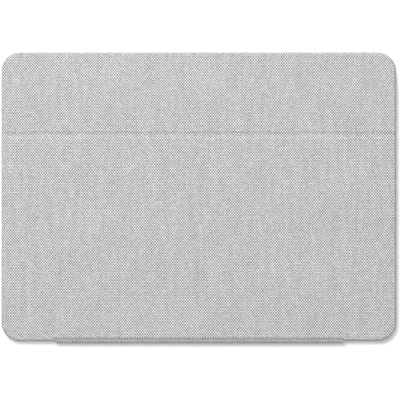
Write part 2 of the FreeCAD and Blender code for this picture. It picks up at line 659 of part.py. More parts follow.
charge_socket = new_body("charge_socket")
socket_at = (SOCKET_X, SOCKET_Y)
grow(charge_socket, rectangle(charge_socket, socket_at + (Z_SOCKET,),
                              (names("socket_width"), names("socket_depth"))), names("socket_height"))
mouth_y = add(BODY_REAR, half(names("socket_mouth")))
mouth = rectangle(charge_socket, (SOCKET_X, mouth_y, add(Z_SOCKET, names("socket_wall"))),
                  (names("socket_width - 2 * socket_wall"), names("socket_mouth")))
cut(charge_socket, mouth, names("socket_height - 2 * socket_wall"))
tongue_y = add(BODY_REAR, names("socket_mouth"), minus(half(names("tongue_reach"))))
z_tongue = add(Z_SOCKET, names("( socket_height - tongue_height ) / 2"))
tongue = rectangle(charge_socket, (SOCKET_X, tongue_y, z_tongue),
                   (names("tongue_width"), names("tongue_reach")))
grow(charge_socket, tongue, names("tongue_height"))
nodes.append(charge_socket)

status_light = new_body("status_light")
z_light = add(Z_BOSS, names("circuit_thick + part_gap"))
grow(status_light, disc(status_light, LIGHT_AT + (z_light,), names("light_radius")),
     less(Z_DECK_TOP, z_light))
nodes.append(status_light)

slide_switch = new_body("slide_switch")
switch_y = add(CAVITY_REAR, names("part_gap + switch_body_depth / 2"))
grow(slide_switch, rectangle(slide_switch, (slider_at[0], switch_y, Z_BOSS),
                             (names("switch_body_width"), names("switch_body_depth"))),
     names("switch_body_height"))
nodes.append(slide_switch)

power_slider = new_body("power_slider")
slider_depth = names("base_wall - slider_recess - part_gap")
slider_y = add(BODY_REAR, names("slider_recess"), half(slider_depth))
grow(power_slider, rectangle(power_slider, (minus(SLIDER_X), slider_y,
                                            less(Z_SLIDER, half(names("slider_height")))),
                             (names("slider_width"), slider_depth)), names("slider_height"))
nodes.append(power_slider)

# Magnets at the front edge that hold the lid shut
keyboard_magnets = new_body("keyboard_magnets")
bar = grow(keyboard_magnets,
           rectangle(keyboard_magnets, (LID_MAGNET_X, FRONT_SCREW_Y, Z_BOSS),
                     (names("lid_magnet_length"), names("deck_magnet_width"))), names("deck_magnet_height"))
mirror(keyboard_magnets, [bar])
nodes.append(keyboard_magnets)

# Spine: cloth, a stiff board and a lining, folding at both long edges
# The board and the lining stop short of one end, where the cloth runs out at a slant
z_spine = less(Z_UPPER_FOLD, Z_LOWER_FOLD)
spine_layers = (
    ("spine_fabric", ORIGIN, SPINE_FACE, names("fabric"), SPINE_LENGTH),
    ("spine_board", half(names("( spine_taper - spine_hem )")), add(SPINE_FACE, names("fabric")),
     names("spine_board"), less(SPINE_LENGTH, names("spine_taper"), names("spine_hem"))),
    ("spine_lining", half(names("spine_taper")), less(REAR, names("spine_lining")), names("spine_lining"),
     less(SPINE_LENGTH, names("spine_taper"))),
)
for label, middle, start, thick, length in spine_layers:
    layer = new_body(label)
    strip = rectangle(layer, (middle, add(start, half(thick)), Z_LOWER_FOLD), (length, thick))
    grow(layer, strip, z_spine)
    nodes.append(layer)


def fold(label, z_axis, turn, tail_z, tail_end):
    """Cloth turned a quarter round a fold line of the spine, with a flat tail to where it is bonded."""
    rings = []
    for name, radius in (("fold_outside", half(SPINE)), ("fold_inside", less(half(SPINE), names("fabric")))):
        quarter = doc.addObject("Part::Cylinder", name)
        quarter.setExpression("Radius", radius)
        quarter.setExpression("Height", SPINE_LENGTH)
        quarter.Angle = 90
        quarter.Placement = FreeCAD.Placement(FreeCAD.Vector(), turn)
        quarter.setExpression("Placement.Base.x", minus(half(SPINE_LENGTH)))
        quarter.setExpression("Placement.Base.y", SPINE_AXIS)
        quarter.setExpression("Placement.Base.z", z_axis)
        rings.append(quarter)
    ring = doc.addObject("Part::Cut", "fold_ring")
    ring.Base = rings[0]
    ring.Tool = rings[1]
    tail = doc.addObject("Part::Box", "fold_tail")
    tail.setExpression("Length", SPINE_LENGTH)
    tail.setExpression("Width", less(tail_end, SPINE_AXIS))
    tail.setExpression("Height", names("fabric"))
    tail.setExpression("Placement.Base.x", minus(half(SPINE_LENGTH)))
    tail.setExpression("Placement.Base.y", SPINE_AXIS)
    tail.setExpression("Placement.Base.z", tail_z)
    whole = doc.addObject("Part::Fuse", label)
    whole.Label = label
    whole.Base = ring
    whole.Tool = tail
    doc.recompute()
    return whole


LYING = FreeCAD.Rotation(FreeCAD.Vector(0, 0, 1), FreeCAD.Vector(1, 0, 0))


def turned(degrees):
    """A cylinder's quarter lying along x, turned about x."""
    return FreeCAD.Rotation(FreeCAD.Vector(1, 0, 0), degrees).multiply(LYING)


nodes.append(fold("lower_spine_crease", Z_LOWER_FOLD, turned(270), ORIGIN, BODY_REAR))
nodes.append(fold("upper_spine_crease", Z_UPPER_FOLD, turned(180), Z_FLAP, BODY_REAR))

upper_spine_flap = new_body("upper_spine_flap")
flap_depth = less(FLAP_END, BODY_REAR)
grow(upper_spine_flap, rectangle(upper_spine_flap, (ORIGIN, add(BODY_REAR, half(flap_depth)), Z_FLAP),
                                 (SPINE_LENGTH, flap_depth)), names("fabric"))
nodes.append(upper_spine_flap)

spine_anchor_bar = new_body("spine_anchor_bar")
bar_size = (less(SPINE_LENGTH, names("2 * spine_hem")), flap_depth)
bar_outline = rectangle(spine_anchor_bar, (ORIGIN, add(BODY_REAR, half(flap_depth)), Z_BACK), bar_size)
grow(spine_anchor_bar, bar_outline, less(Z_FLAP, Z_BACK))
nodes.append(spine_anchor_bar)

# Tray: a hard shell with walls round the tablet, and a soft bumper with a lip
BAY_WIDTH = names("tablet_width + 2 * side_clearance")
BAY_DEPTH = names("tablet_depth + 2 * side_clearance")
SHELL_WIDTH = add(BAY_WIDTH, names("2 * shell_wall"))
SHELL_DEPTH = add(BAY_DEPTH, names("2 * shell_end_wall"))
SHELL_RADIUS = less(BODY_RADIUS, names("bumper"))
BAY_HEIGHT = less(Z_WALL, Z_SCREEN)
Z_PORT = less(Z_MID_BAY, half(names("port_height")))
Z_SPEAKER = less(Z_MID_BAY, half(names("speaker_height")))
Z_BUTTON = less(Z_MID_BAY, half(names("button_height")))
WALL_ROOM = names("4 * ( shell_wall + bumper )")
END_ROOM = names("4 * ( shell_end_wall + bumper )")
BAY_END = add(MIDDLE, half(BAY_DEPTH))
BUTTON_SLOT = names("button_width + 2 * button_gap")
FLANGE_SLOT = names("button_width + 2 * button_flange + 2 * button_gap")
Z_FLANGE = less(Z_BUTTON, names("button_flange"))
FLANGE_HEIGHT = names("button_height + 2 * button_flange")
SLOT_HEIGHT = names("button_height + 2 * button_gap")
FLANGE_ROOM = names("flange_depth + button_travel + 2 * button_gap")


def side_openings(body):
    """Cut the charging port and the speaker slots through the short sides."""
    at = (minus(half(BODY_WIDTH)), MIDDLE, Z_PORT)
    cut(body, rectangle(body, at, (WALL_ROOM, names("port_width"))), names("port_height"))
    for x in (half(BODY_WIDTH), minus(half(BODY_WIDTH))):
        for y in (add(MIDDLE, names("speaker_place")), less(MIDDLE, names("speaker_place"))):
            slot = rectangle(body, (x, y, Z_SPEAKER), (WALL_ROOM, names("speaker_width")))
            cut(body, slot, names("speaker_height"))


def button_slots(body):
    """Cut the slots that the three buttons move in."""
    low = less(Z_BUTTON, names("button_gap"))
    for x in (VOLUME_UP_X, VOLUME_DOWN_X):
        cut(body, rectangle(body, (x, BODY_FRONT, low), (BUTTON_SLOT, END_ROOM)), SLOT_HEIGHT)
    side = (minus(half(BODY_WIDTH)), POWER_Y, low)
    cut(body, rectangle(body, side, (WALL_ROOM, BUTTON_SLOT)), SLOT_HEIGHT)


tray_shell = new_body("tray_shell")
walls = rounded(tray_shell, (ORIGIN, MIDDLE, Z_SCREEN), (SHELL_WIDTH, SHELL_DEPTH), SHELL_RADIUS)
grow(tray_shell, walls, BAY_HEIGHT)
grow(tray_shell, rounded(tray_shell, (ORIGIN, MIDDLE, Z_WALL), (BODY_WIDTH, BODY_DEPTH), BODY_RADIUS),
     names("back_wall"))
bay = rounded(tray_shell, (ORIGIN, MIDDLE, Z_SCREEN), (BAY_WIDTH, BAY_DEPTH), names("bay_radius"))
cut(tray_shell, bay, BAY_HEIGHT)
side_openings(tray_shell)
button_slots(tray_shell)
flange_low = less(Z_FLANGE, names("button_gap"))
flange_high = add(FLANGE_HEIGHT, names("2 * button_gap"))
SHELL_END = add(MIDDLE, half(SHELL_DEPTH))
SHELL_SIDE = half(SHELL_WIDTH)
flange_y = less(SHELL_END, half(FLANGE_ROOM))
for x in (VOLUME_UP_X, VOLUME_DOWN_X):
    cut(tray_shell, rectangle(tray_shell, (x, flange_y, flange_low), (FLANGE_SLOT, FLANGE_ROOM)), flange_high)
flange_at = (less(half(FLANGE_ROOM), SHELL_SIDE), POWER_Y, flange_low)
cut(tray_shell, rectangle(tray_shell, flange_at, (FLANGE_ROOM, FLANGE_SLOT)), flange_high)
keeper_at = (KEEPER_X, add(REAR, names("keeper_reach")))
Z_KEEPER = less(Z_BACK, names("keeper_height"))
seat = cut(tray_shell, disc(tray_shell, keeper_at + (Z_KEEPER,), names("keeper_radius + part_gap")),
           names("keeper_height"))
mirror(tray_shell, [seat])
knuckle_room = rectangle(
    tray_shell, (HINGE_X, CREASE, less(Z_BACK, names("knuckle_room"))),
    (names("3 * knuckle_length + 4 * knuckle_gap"), names("2 * knuckle_radius + 2 * knuckle_room")))
room = cut(tray_shell, knuckle_room, names("knuckle_room"))
mirror(tray_shell, [room])
nodes.append(tray_shell)

tray_bumper = new_body("tray_bumper")
grow(tray_bumper, rounded(tray_bumper, (ORIGIN, MIDDLE, Z_TRAY), (BODY_WIDTH, BODY_DEPTH), BODY_RADIUS),
     less(Z_WALL, Z_TRAY))
tray_low = value(Z_TRAY)
soften(tray_bumper, names("bumper / 2"), lambda edge: level(edge, tray_low))
shell_room = (add(SHELL_WIDTH, names("2 * bond")), add(SHELL_DEPTH, names("2 * bond")))
shell_seat = rounded(tray_bumper, (ORIGIN, MIDDLE, Z_SCREEN), shell_room, add(SHELL_RADIUS, names("bond")))
cut(tray_bumper, shell_seat, BAY_HEIGHT)
mouth = (less(BAY_WIDTH, names("2 * lip_overlap")), less(BAY_DEPTH, names("2 * lip_overlap")))
cut(tray_bumper, rounded(tray_bumper, (ORIGIN, MIDDLE, Z_TRAY), mouth, names("bay_radius")), names("lip"))
side_openings(tray_bumper)
button_slots(tray_bumper)
MAGNET_Y = add(BAY_END, half(names("shell_end_wall")))
Z_MAGNET = less(Z_SCREEN, names("lid_magnet_height + part_gap"))
magnet_room = (names("lid_magnet_length + 2 * part_gap"), names("lid_magnet_width + 2 * part_gap"))
seat = cut(tray_bumper, rectangle(tray_bumper, (LID_MAGNET_X, MAGNET_Y, Z_MAGNET), magnet_room),
           names("lid_magnet_height + part_gap"))
mirror(tray_bumper, [seat])
nodes.append(tray_bumper)

tray_magnets = new_body("tray_magnets")
bar = grow(tray_magnets, rectangle(tray_magnets, (LID_MAGNET_X, MAGNET_Y, Z_MAGNET),
                                   (names("lid_magnet_length"), names("lid_magnet_width"))),
           names("lid_magnet_height"))
mirror(tray_magnets, [bar])
nodes.append(tray_magnets)

tray_lining = new_body("tray_lining")
lined = (less(BAY_WIDTH, names("2 * side_clearance")), less(BAY_DEPTH, names("2 * side_clearance")))
grow(tray_lining, rounded(tray_lining, (ORIGIN, MIDDLE, Z_LINING), lined, names("bay_radius")),
     names("lining"))
nodes.append(tray_lining)

kickstand_keepers = new_body("kickstand_keepers")
plate = grow(kickstand_keepers, disc(kickstand_keepers, keeper_at + (Z_KEEPER,), names("keeper_radius")),
             names("keeper_height"))
mirror(kickstand_keepers, [plate])
nodes.append(kickstand_keepers)

# Buttons over the tablet's own: a cap through the bumper, a flange behind it and a stem to the bay
CAP_OUT = names("button_proud + bumper + bond")
STEM = names("shell_end_wall - bond - button_travel")
SIDE_STEM = names("shell_wall - bond - button_travel")


def end_button(label, x):
    """A button in the long side, pressed towards the spine."""
    body = new_body(label)
    inner = less(SHELL_END, names("bond"))
    stem_y = less(inner, half(STEM))
    grow(body, rectangle(body, (x, stem_y, Z_BUTTON), (names("button_width"), STEM)), names("button_height"))
    flange_y = less(inner, half(names("flange_depth")))
    grow(body, rectangle(body, (x, flange_y, Z_FLANGE),
                         (names("button_width + 2 * button_flange"), names("flange_depth"))), FLANGE_HEIGHT)
    cap_y = add(inner, half(CAP_OUT))
    grow(body, rectangle(body, (x, cap_y, Z_BUTTON), (names("button_width"), CAP_OUT)),
         names("button_height"))
    return body


nodes.append(end_button("volume_up_button", VOLUME_UP_X))
nodes.append(end_button("volume_down_button", VOLUME_DOWN_X))

power_button = new_body("power_button")
inner = less(names("bond"), SHELL_SIDE)
along = POWER_Y
grow(power_button, rectangle(power_button, (add(inner, half(SIDE_STEM)), along, Z_BUTTON),
                             (SIDE_STEM, names("button_width"))), names("button_height"))
grow(power_button, rectangle(power_button, (add(inner, half(names("flange_depth"))), along, Z_FLANGE),
                             (names("flange_depth"), names("button_width + 2 * button_flange"))),
     FLANGE_HEIGHT)
grow(power_button, rectangle(power_button, (less(inner, half(CAP_OUT)), along, Z_BUTTON),
                             (CAP_OUT, names("button_width"))), names("button_height"))
nodes.append(power_button)

# Friction hinges at the crease: knuckles of both leaves on one pin
LANE = names("knuckle_length + knuckle_gap")
LEAF_WIDTH = names("3 * knuckle_length + 2 * knuckle_gap")
Z_LEAF = less(Z_BOARD, names("leaf"))
LEAF_PLATE = names("leaf_reach - leaf_start")
WEB = names("leaf_start + leaf")
BORE = names("pin_radius + running_gap")


def hinge_leaves(label, side, lanes):
    """A pair of hinge leaves: a plate beside the crease, webs and knuckles in some lanes, and rivet holes."""
    body = new_body(label)
    features = []

    def across(distance):
        return add(CREASE, distance) if side > 0 else less(CREASE, distance)

    plate_y = across(add(names("leaf_start"), half(LEAF_PLATE)))
    features.append(grow(body, rectangle(body, (HINGE_X, plate_y, Z_LEAF), (LEAF_WIDTH, LEAF_PLATE)),
                         names("leaf")))
    for lane in lanes:
        x = add(HINGE_X, "%d * %s" % (lane, LANE))
        web = rectangle(body, (x, across(half(WEB)), Z_LEAF), (names("knuckle_length"), WEB))
        features.append(grow(body, web, names("leaf")))
        start = less(x, half(names("knuckle_length")))
        knuckle = disc(body, (CREASE, Z_AXIS, start), names("knuckle_radius"), "YZ_Plane")
        features.append(grow(body, knuckle, names("knuckle_length")))
    start = less(HINGE_X, half(LEAF_WIDTH))
    features.append(cut(body, disc(body, (CREASE, Z_AXIS, start), BORE, "YZ_Plane"), LEAF_WIDTH))
    for shift in ("rivet_place", "-1 * rivet_place"):
        at = (add(HINGE_X, names(shift)), across(names("rivet_reach")), Z_LEAF)
        features.append(cut(body, disc(body, at, names("rivet_radius + running_gap")), names("leaf")))
    mirror(body, features)
    return body


def hinge_rivets(label, side):
    """Flush rivets through a pair of leaves and the board above them."""
    body = new_body(label)
    features = []
    for shift in ("rivet_place", "-1 * rivet_place"):
        reach = names("rivet_reach")
        y = add(CREASE, reach) if side > 0 else less(CREASE, reach)
        at = (add(HINGE_X, names(shift)), y, Z_LEAF)
        features.append(grow(body, disc(body, at, names("rivet_radius")), less(Z_SKIN, Z_LEAF)))
    mirror(body, features)
    return body


def rivet_holes(body, side):
    """Holes in a board for the rivets of one side."""
    features = []
    for shift in ("rivet_place", "-1 * rivet_place"):
        reach = names("rivet_reach")
        y = add(CREASE, reach) if side > 0 else less(CREASE, reach)
        at = (add(HINGE_X, names(shift)), y, Z_BOARD)
        features.append(cut(body, disc(body, at, names("rivet_radius + running_gap")), names("board")))
    mirror(body, features)


def leaf_room(body, side, z, height):
    """Room in a layer for the leaf plates of one side."""
    depth = names("leaf_reach + part_gap")
    y = add(CREASE, half(depth)) if side > 0 else less(CREASE, half(depth))
    width = add(LEAF_WIDTH, names("2 * knuckle_gap"))
    mirror(body, [cut(body, rectangle(body, (HINGE_X, y, z), (width, depth)), height)])


nodes.append(hinge_leaves("hinge_fixed_leaves", 1, (-1, 1)))
nodes.append(hinge_rivets("hinge_rivets_fixed", 1))
nodes.append(hinge_leaves("hinge_moving_leaves", -1, (0,)))
nodes.append(hinge_rivets("hinge_rivets_moving", -1))
hinge_pins = new_body("hinge_pins")
pin_start = less(HINGE_X, half(LEAF_WIDTH))
pin = grow(hinge_pins, disc(hinge_pins, (CREASE, Z_AXIS, pin_start), names("pin_radius"), "YZ_Plane"),
           LEAF_WIDTH)
mirror(hinge_pins, [pin])
nodes.append(hinge_pins)

# Boards and cloth on both sides of the crease
UPPER_EDGE = add(CREASE, names("crease_flat"))
LOWER_EDGE = less(CREASE, names("crease_flat"))
UPPER_SKIN = add(CREASE, names("crease_half"))
LOWER_SKIN = less(CREASE, names("crease_half"))


def bevel(body, edge, slope_end):
    """Slope a board's top edge into the crease."""
    beyond = names("crease_flat / 2")
    outer = less(edge, beyond) if value(slope_end) > value(edge) else add(edge, beyond)
    z_high = add(Z_SKIN, names("crease_bevel"))
    corners = ((outer, less(Z_SKIN, names("crease_bevel"))), (edge, less(Z_SKIN, names("crease_bevel"))),
               (slope_end, Z_SKIN), (slope_end, z_high), (outer, z_high))
    wedge = section(body, (ORIGIN, ORIGIN, minus(half(CASE_WIDTH))), corners)
    return cut(body, wedge, CASE_WIDTH)


def at_rim(edge, z, crease_edge):
    """Whether an edge of a plate's top face lies on its outer rim, away from the crease."""
    box = edge.BoundBox
    on_crease = abs(box.YMin - crease_edge) < 1e-5 and abs(box.YMax - crease_edge) < 1e-5
    return level(edge, z) and not on_crease


skin_top = value(Z_TOP)
board_top = value(Z_SKIN)

upper_back_spacer = outer_plate("upper_back_spacer", Z_BACK, less(Z_BOARD, Z_BACK), names("fabric + bond"))
clear_below(upper_back_spacer, UPPER_EDGE, Z_BACK, less(Z_BOARD, Z_BACK))
leaf_room(upper_back_spacer, 1, Z_BACK, less(Z_BOARD, Z_BACK))
nodes.append(upper_back_spacer)

upper_back_board = outer_plate("upper_back_board", Z_BOARD, names("board"), names("fabric + bond"))
clear_below(upper_back_board, UPPER_EDGE, Z_BOARD, names("board"))
soften(upper_back_board, names("board_round"), lambda edge: at_rim(edge, board_top, value(UPPER_EDGE)))
bevel(upper_back_board, UPPER_EDGE, UPPER_SKIN)
rivet_holes(upper_back_board, 1)
nodes.append(upper_back_board)


def skin(label, z, crease_edge, trim):
    """Outer cloth over a board, turned down over its rim."""
    body = outer_plate(label, z, less(Z_TOP, z), ORIGIN)
    trim(body, crease_edge, z, less(Z_TOP, z))
    soften(body, names("skin_round"), lambda edge: at_rim(edge, skin_top, value(crease_edge)))
    inside = (less(CASE_WIDTH, names("2 * fabric")), less(CASE_DEPTH, names("2 * fabric")))
    cut(body, rounded(body, (ORIGIN, MIDDLE, z), inside, names("corner_radius - fabric")), less(Z_SKIN, z))
    return body


upper_back_fabric = skin("upper_back_fabric", Z_BACK, UPPER_SKIN, clear_below)
nodes.append(upper_back_fabric)

kickstand_lining = outer_plate("kickstand_lining", Z_STAND, names("lining"), names("fabric + bond"))
clear_above(kickstand_lining, less(CREASE, names("lining_setback")), Z_STAND, names("lining"))
leaf_room(kickstand_lining, -1, Z_STAND, names("lining"))
notch(kickstand_lining, Z_STAND, names("lining"))
nodes.append(kickstand_lining)

kickstand_board = outer_plate("kickstand_board", Z_BOARD, names("board"), names("fabric + bond"))
clear_above(kickstand_board, LOWER_EDGE, Z_BOARD, names("board"))
soften(kickstand_board, names("board_round"), lambda edge: at_rim(edge, board_top, value(LOWER_EDGE)))
bevel(kickstand_board, LOWER_EDGE, LOWER_SKIN)
rivet_holes(kickstand_board, -1)
notch(kickstand_board, Z_BOARD, names("board"))
seat = cut(kickstand_board, disc(kickstand_board, keeper_at + (Z_BOARD,), names("disc_radius + part_gap")),
           names("disc_height"))
mirror(kickstand_board, [seat])
nodes.append(kickstand_board)

kickstand_fabric = skin("kickstand_fabric", Z_STAND, LOWER_SKIN, clear_above)
notch(kickstand_fabric, Z_STAND, less(Z_TOP, Z_STAND))
nodes.append(kickstand_fabric)

kickstand_magnets = new_body("kickstand_magnets")
plate = grow(kickstand_magnets, disc(kickstand_magnets, keeper_at + (Z_BOARD,), names("disc_radius")),
             names("disc_height"))
mirror(kickstand_magnets, [plate])
nodes.append(kickstand_magnets)

# Cloth that bridges the crease in a shallow trough
crease_fabric = new_body("crease_fabric")
Z_TROUGH = less(Z_TOP, names("crease_dip"))
Z_UNDER = less(Z_TROUGH, names("fabric"))
trough = section(
    crease_fabric, (ORIGIN, ORIGIN, minus(half(CASE_WIDTH))),
    ((LOWER_SKIN, Z_SKIN), (LOWER_EDGE, Z_UNDER), (UPPER_EDGE, Z_UNDER), (UPPER_SKIN, Z_SKIN),
     (UPPER_SKIN, Z_TOP), (UPPER_EDGE, Z_TROUGH), (LOWER_EDGE, Z_TROUGH), (LOWER_SKIN, Z_TOP)))
grow(crease_fabric, trough, CASE_WIDTH)
nodes.append(crease_fabric)

doc.recompute()
for item in doc.Objects:
    if "Invalid" in item.State or "Error" in item.State:
        raise RuntimeError("%s did not rebuild" % item.Label)
for node in nodes:
    if node.Shape.isNull() or not node.Shape.isValid() or not node.Shape.Solids:
        raise RuntimeError("%s has no sound shape" % node.Label)
os.makedirs("parts", exist_ok=True)
for node in nodes:
    node.Shape.exportStep("parts/%s.step" % node.Label)
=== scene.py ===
import math

import bpy
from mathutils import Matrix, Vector


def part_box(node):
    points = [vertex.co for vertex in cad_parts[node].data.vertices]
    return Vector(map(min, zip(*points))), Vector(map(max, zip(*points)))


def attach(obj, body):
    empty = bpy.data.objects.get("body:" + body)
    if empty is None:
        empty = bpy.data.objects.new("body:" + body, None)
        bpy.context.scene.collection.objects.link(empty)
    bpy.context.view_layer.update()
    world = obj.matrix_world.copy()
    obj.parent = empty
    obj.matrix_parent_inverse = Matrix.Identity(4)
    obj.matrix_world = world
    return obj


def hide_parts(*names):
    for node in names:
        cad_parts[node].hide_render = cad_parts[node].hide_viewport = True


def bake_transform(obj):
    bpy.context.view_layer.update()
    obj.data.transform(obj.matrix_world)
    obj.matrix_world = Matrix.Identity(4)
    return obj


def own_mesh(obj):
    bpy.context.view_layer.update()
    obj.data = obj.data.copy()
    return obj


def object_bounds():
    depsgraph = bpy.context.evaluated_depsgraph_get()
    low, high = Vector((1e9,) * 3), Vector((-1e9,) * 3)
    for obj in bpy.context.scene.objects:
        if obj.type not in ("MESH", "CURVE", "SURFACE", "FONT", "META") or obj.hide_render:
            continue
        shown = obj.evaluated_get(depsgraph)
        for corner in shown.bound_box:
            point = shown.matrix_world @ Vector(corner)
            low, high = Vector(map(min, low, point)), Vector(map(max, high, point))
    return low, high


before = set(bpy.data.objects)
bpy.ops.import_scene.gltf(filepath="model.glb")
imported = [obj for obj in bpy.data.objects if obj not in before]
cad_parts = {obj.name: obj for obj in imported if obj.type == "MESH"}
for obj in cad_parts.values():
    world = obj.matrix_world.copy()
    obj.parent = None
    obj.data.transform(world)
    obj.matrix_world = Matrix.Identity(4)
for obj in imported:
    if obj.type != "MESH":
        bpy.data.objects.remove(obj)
solid_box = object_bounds()


# Keyboard underside cloth
# A sheet of light grey plain weave glued under the keyboard, cut to its rounded outline.
# Its yarns are light and dark fibres spun together, so the cloth looks speckled.
def only(piece):
    """Leave one piece selected, so that the next operator acts on it and on nothing else."""
    if bpy.context.object and bpy.context.object.mode != "OBJECT":
        bpy.ops.object.mode_set(mode="OBJECT")
    bpy.ops.object.select_all(action="DESELECT")
    if piece:
        piece.select_set(True)
        bpy.context.view_layer.objects.active = piece


def pick(piece, kind, test):
    """Open a piece with only the corners, edges or faces selected whose points pass the test."""
    only(piece)
    bpy.ops.object.mode_set(mode="EDIT")
    bpy.ops.mesh.select_mode(type=kind)
    bpy.ops.mesh.select_all(action="DESELECT")
    bpy.ops.object.mode_set(mode="OBJECT")
    mesh = piece.data
    for part in {"VERT": mesh.vertices, "EDGE": mesh.edges, "FACE": mesh.polygons}[kind]:
        corners = [part.index] if kind == "VERT" else part.vertices
        part.select = bool(test(*[mesh.vertices[i].co for i in corners]))
    bpy.ops.object.mode_set(mode="EDIT")


def plane_piece(name, low, high, z):
    """A flat plane at its size and place, as the start of a sheet."""
    only(None)
    bpy.ops.mesh.primitive_plane_add(size=1, location=((low.x + high.x) / 2, (low.y + high.y) / 2, z))
    piece = bpy.context.object
    piece.name = piece.data.name = name
    piece.scale = (high.x - low.x, high.y - low.y, 1)
    bpy.ops.object.transform_apply(location=True, rotation=True, scale=True)
    return piece


def slice_across(piece, point, normal):
    """Cut a line of edges right across a piece."""
    pick(piece, "FACE", lambda *points: True)
    bpy.ops.mesh.bisect(plane_co=point, plane_no=normal)


SLACK = 1e-6


def cut_away(piece, left, right, back, front):
    """Take a rectangle out of a flat sheet."""
    for x in (left, right):
        slice_across(piece, (x, 0, 0), (1, 0, 0))
    for y in (back, front):
        slice_across(piece, (0, y, 0), (0, 1, 0))
    pick(piece, "FACE", lambda *points: all(
        left - SLACK < p.x < right + SLACK and back - SLACK < p.y < front + SLACK for p in points))
    bpy.ops.mesh.delete(type="FACE")
    pick(piece, "FACE", lambda *points: True)
    bpy.ops.mesh.dissolve_limited(angle_limit=0.01)


def draw_out(piece, height):
    """Draw a flat sheet out into a closed block."""
    pick(piece, "FACE", lambda *points: True)
    bpy.ops.mesh.extrude_region_move(TRANSFORM_OT_translate={"value": (0, 0, height)})
    bpy.ops.mesh.select_all(action="SELECT")
    bpy.ops.mesh.normals_make_consistent(inside=False)


def smooth(piece):
    """Shade a piece smooth between its sharp edges."""
    only(piece)
    bpy.ops.object.shade_smooth_by_angle(angle=math.radians(40))


def cut_sheet(name, node, radius, edge, rounded=lambda a: True, rooms=()):
    """A sheet in a node's place: flat, with room cut in it, corners rounded, thickened and its rims eased."""
    low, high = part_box(node)
    piece = plane_piece(name, low, high, low.z)
    for room in rooms:
        cut_away(piece, *room)
    if radius:
        pick(piece, "VERT", rounded)
        bpy.ops.mesh.bevel(offset=radius, offset_type="OFFSET", segments=10, affect="VERTICES")
    draw_out(piece, high.z - low.z)
    pick(piece, "EDGE", lambda a, b: abs(a.z - b.z) < SLACK)
    bpy.ops.mesh.bevel(offset=edge, segments=2, affect="EDGES")
    smooth(piece)
    return piece


class Nodes:
    """The nodes of one finish, added and wired one after another."""

    def __init__(self, name, store=bpy.data.materials, shader="Principled BSDF"):
        self.owner = store.new(name)
        self.owner.use_nodes = True
        self.tree = self.owner.node_tree
        self.shader = self.tree.nodes[shader]

    def put(self, socket, value):
        """Wire a socket to another, or set its value."""
        if isinstance(value, bpy.types.NodeSocket):
            self.tree.links.new(value, socket)
        else:
            socket.default_value = value

    def add(self, kind, *values, out=0, **settings):
        """One output of a new node with its inputs set in order, where None leaves an input as it is."""
        made = self.tree.nodes.new("ShaderNode" + kind)
        for key, setting in settings.items():
            setattr(made, key, setting)
        for socket, value in zip(made.inputs, values):
            if value is not None:
                self.put(socket, value)
        return made.outputs[out]

    def maths(self, operation, a, b=None, c=None):
        """One step of arithmetic."""
        return self.add("Math", a, b, c, operation=operation)

    def place(self, attribute=None):
        """Where a point lies: on the cloth as it was cut, or in the object's own frame."""
        if attribute:
            return self.add("Attribute", attribute_name=attribute, out="Vector")
        return self.add("TexCoord", out="Object")

    def noise(self, place, scale, detail=2.0):
        """Soft random cloud, mostly between 0.3 and 0.7."""
        made = self.tree.nodes.new("ShaderNodeTexNoise")
        self.put(made.inputs["Vector"], place)
        made.inputs["Scale"].default_value = scale
        made.inputs["Detail"].default_value = detail
        return made.outputs["Fac"]

    def spread(self, value, low, high, to_low, to_high):
        """A value between two limits brought to run between two others."""
        made = self.tree.nodes.new("ShaderNodeMapRange")
        self.put(made.inputs["Value"], value)
        limits = {"From Min": low, "From Max": high, "To Min": to_low, "To Max": to_high}
        for name, number in limits.items():
            made.inputs[name].default_value = number
        return made.outputs["Result"]

    def span(self, noise, low, high):
        """A noise brought to run from low to high."""
        return self.spread(noise, 0.3, 0.7, low, high)

    def tint(self, share, dark, light):
        """A colour between a dark and a light one."""
        made = self.tree.nodes.new("ShaderNodeMix")
        made.data_type = "RGBA"
        self.put(made.inputs["Factor"], share)
        made.inputs[6].default_value = (*dark, 1)
        made.inputs[7].default_value = (*light, 1)
        return made.outputs[2]

    def bump(self, height, distance, strength):
        """Relief of a given depth on the surface."""
        made = self.tree.nodes.new("ShaderNodeBump")
        self.put(made.inputs["Height"], height)
        made.inputs["Distance"].default_value = distance
        made.inputs["Strength"].default_value = strength
        self.put(self.shader.inputs["Normal"], made.outputs["Normal"])

    def finish(self, **values):
        """Set the shader's own inputs, and hand over the finish."""
        for name, value in values.items():
            self.put(self.shader.inputs[name.replace("_", " ")], value)
        return self.owner


WARP_PITCH, WEFT_PITCH = 0.000818, 0.000964
DARK_YARN, LIGHT_YARN = (0.14,) * 3, (1.0,) * 3
YARN_DEPTH = 0.0002


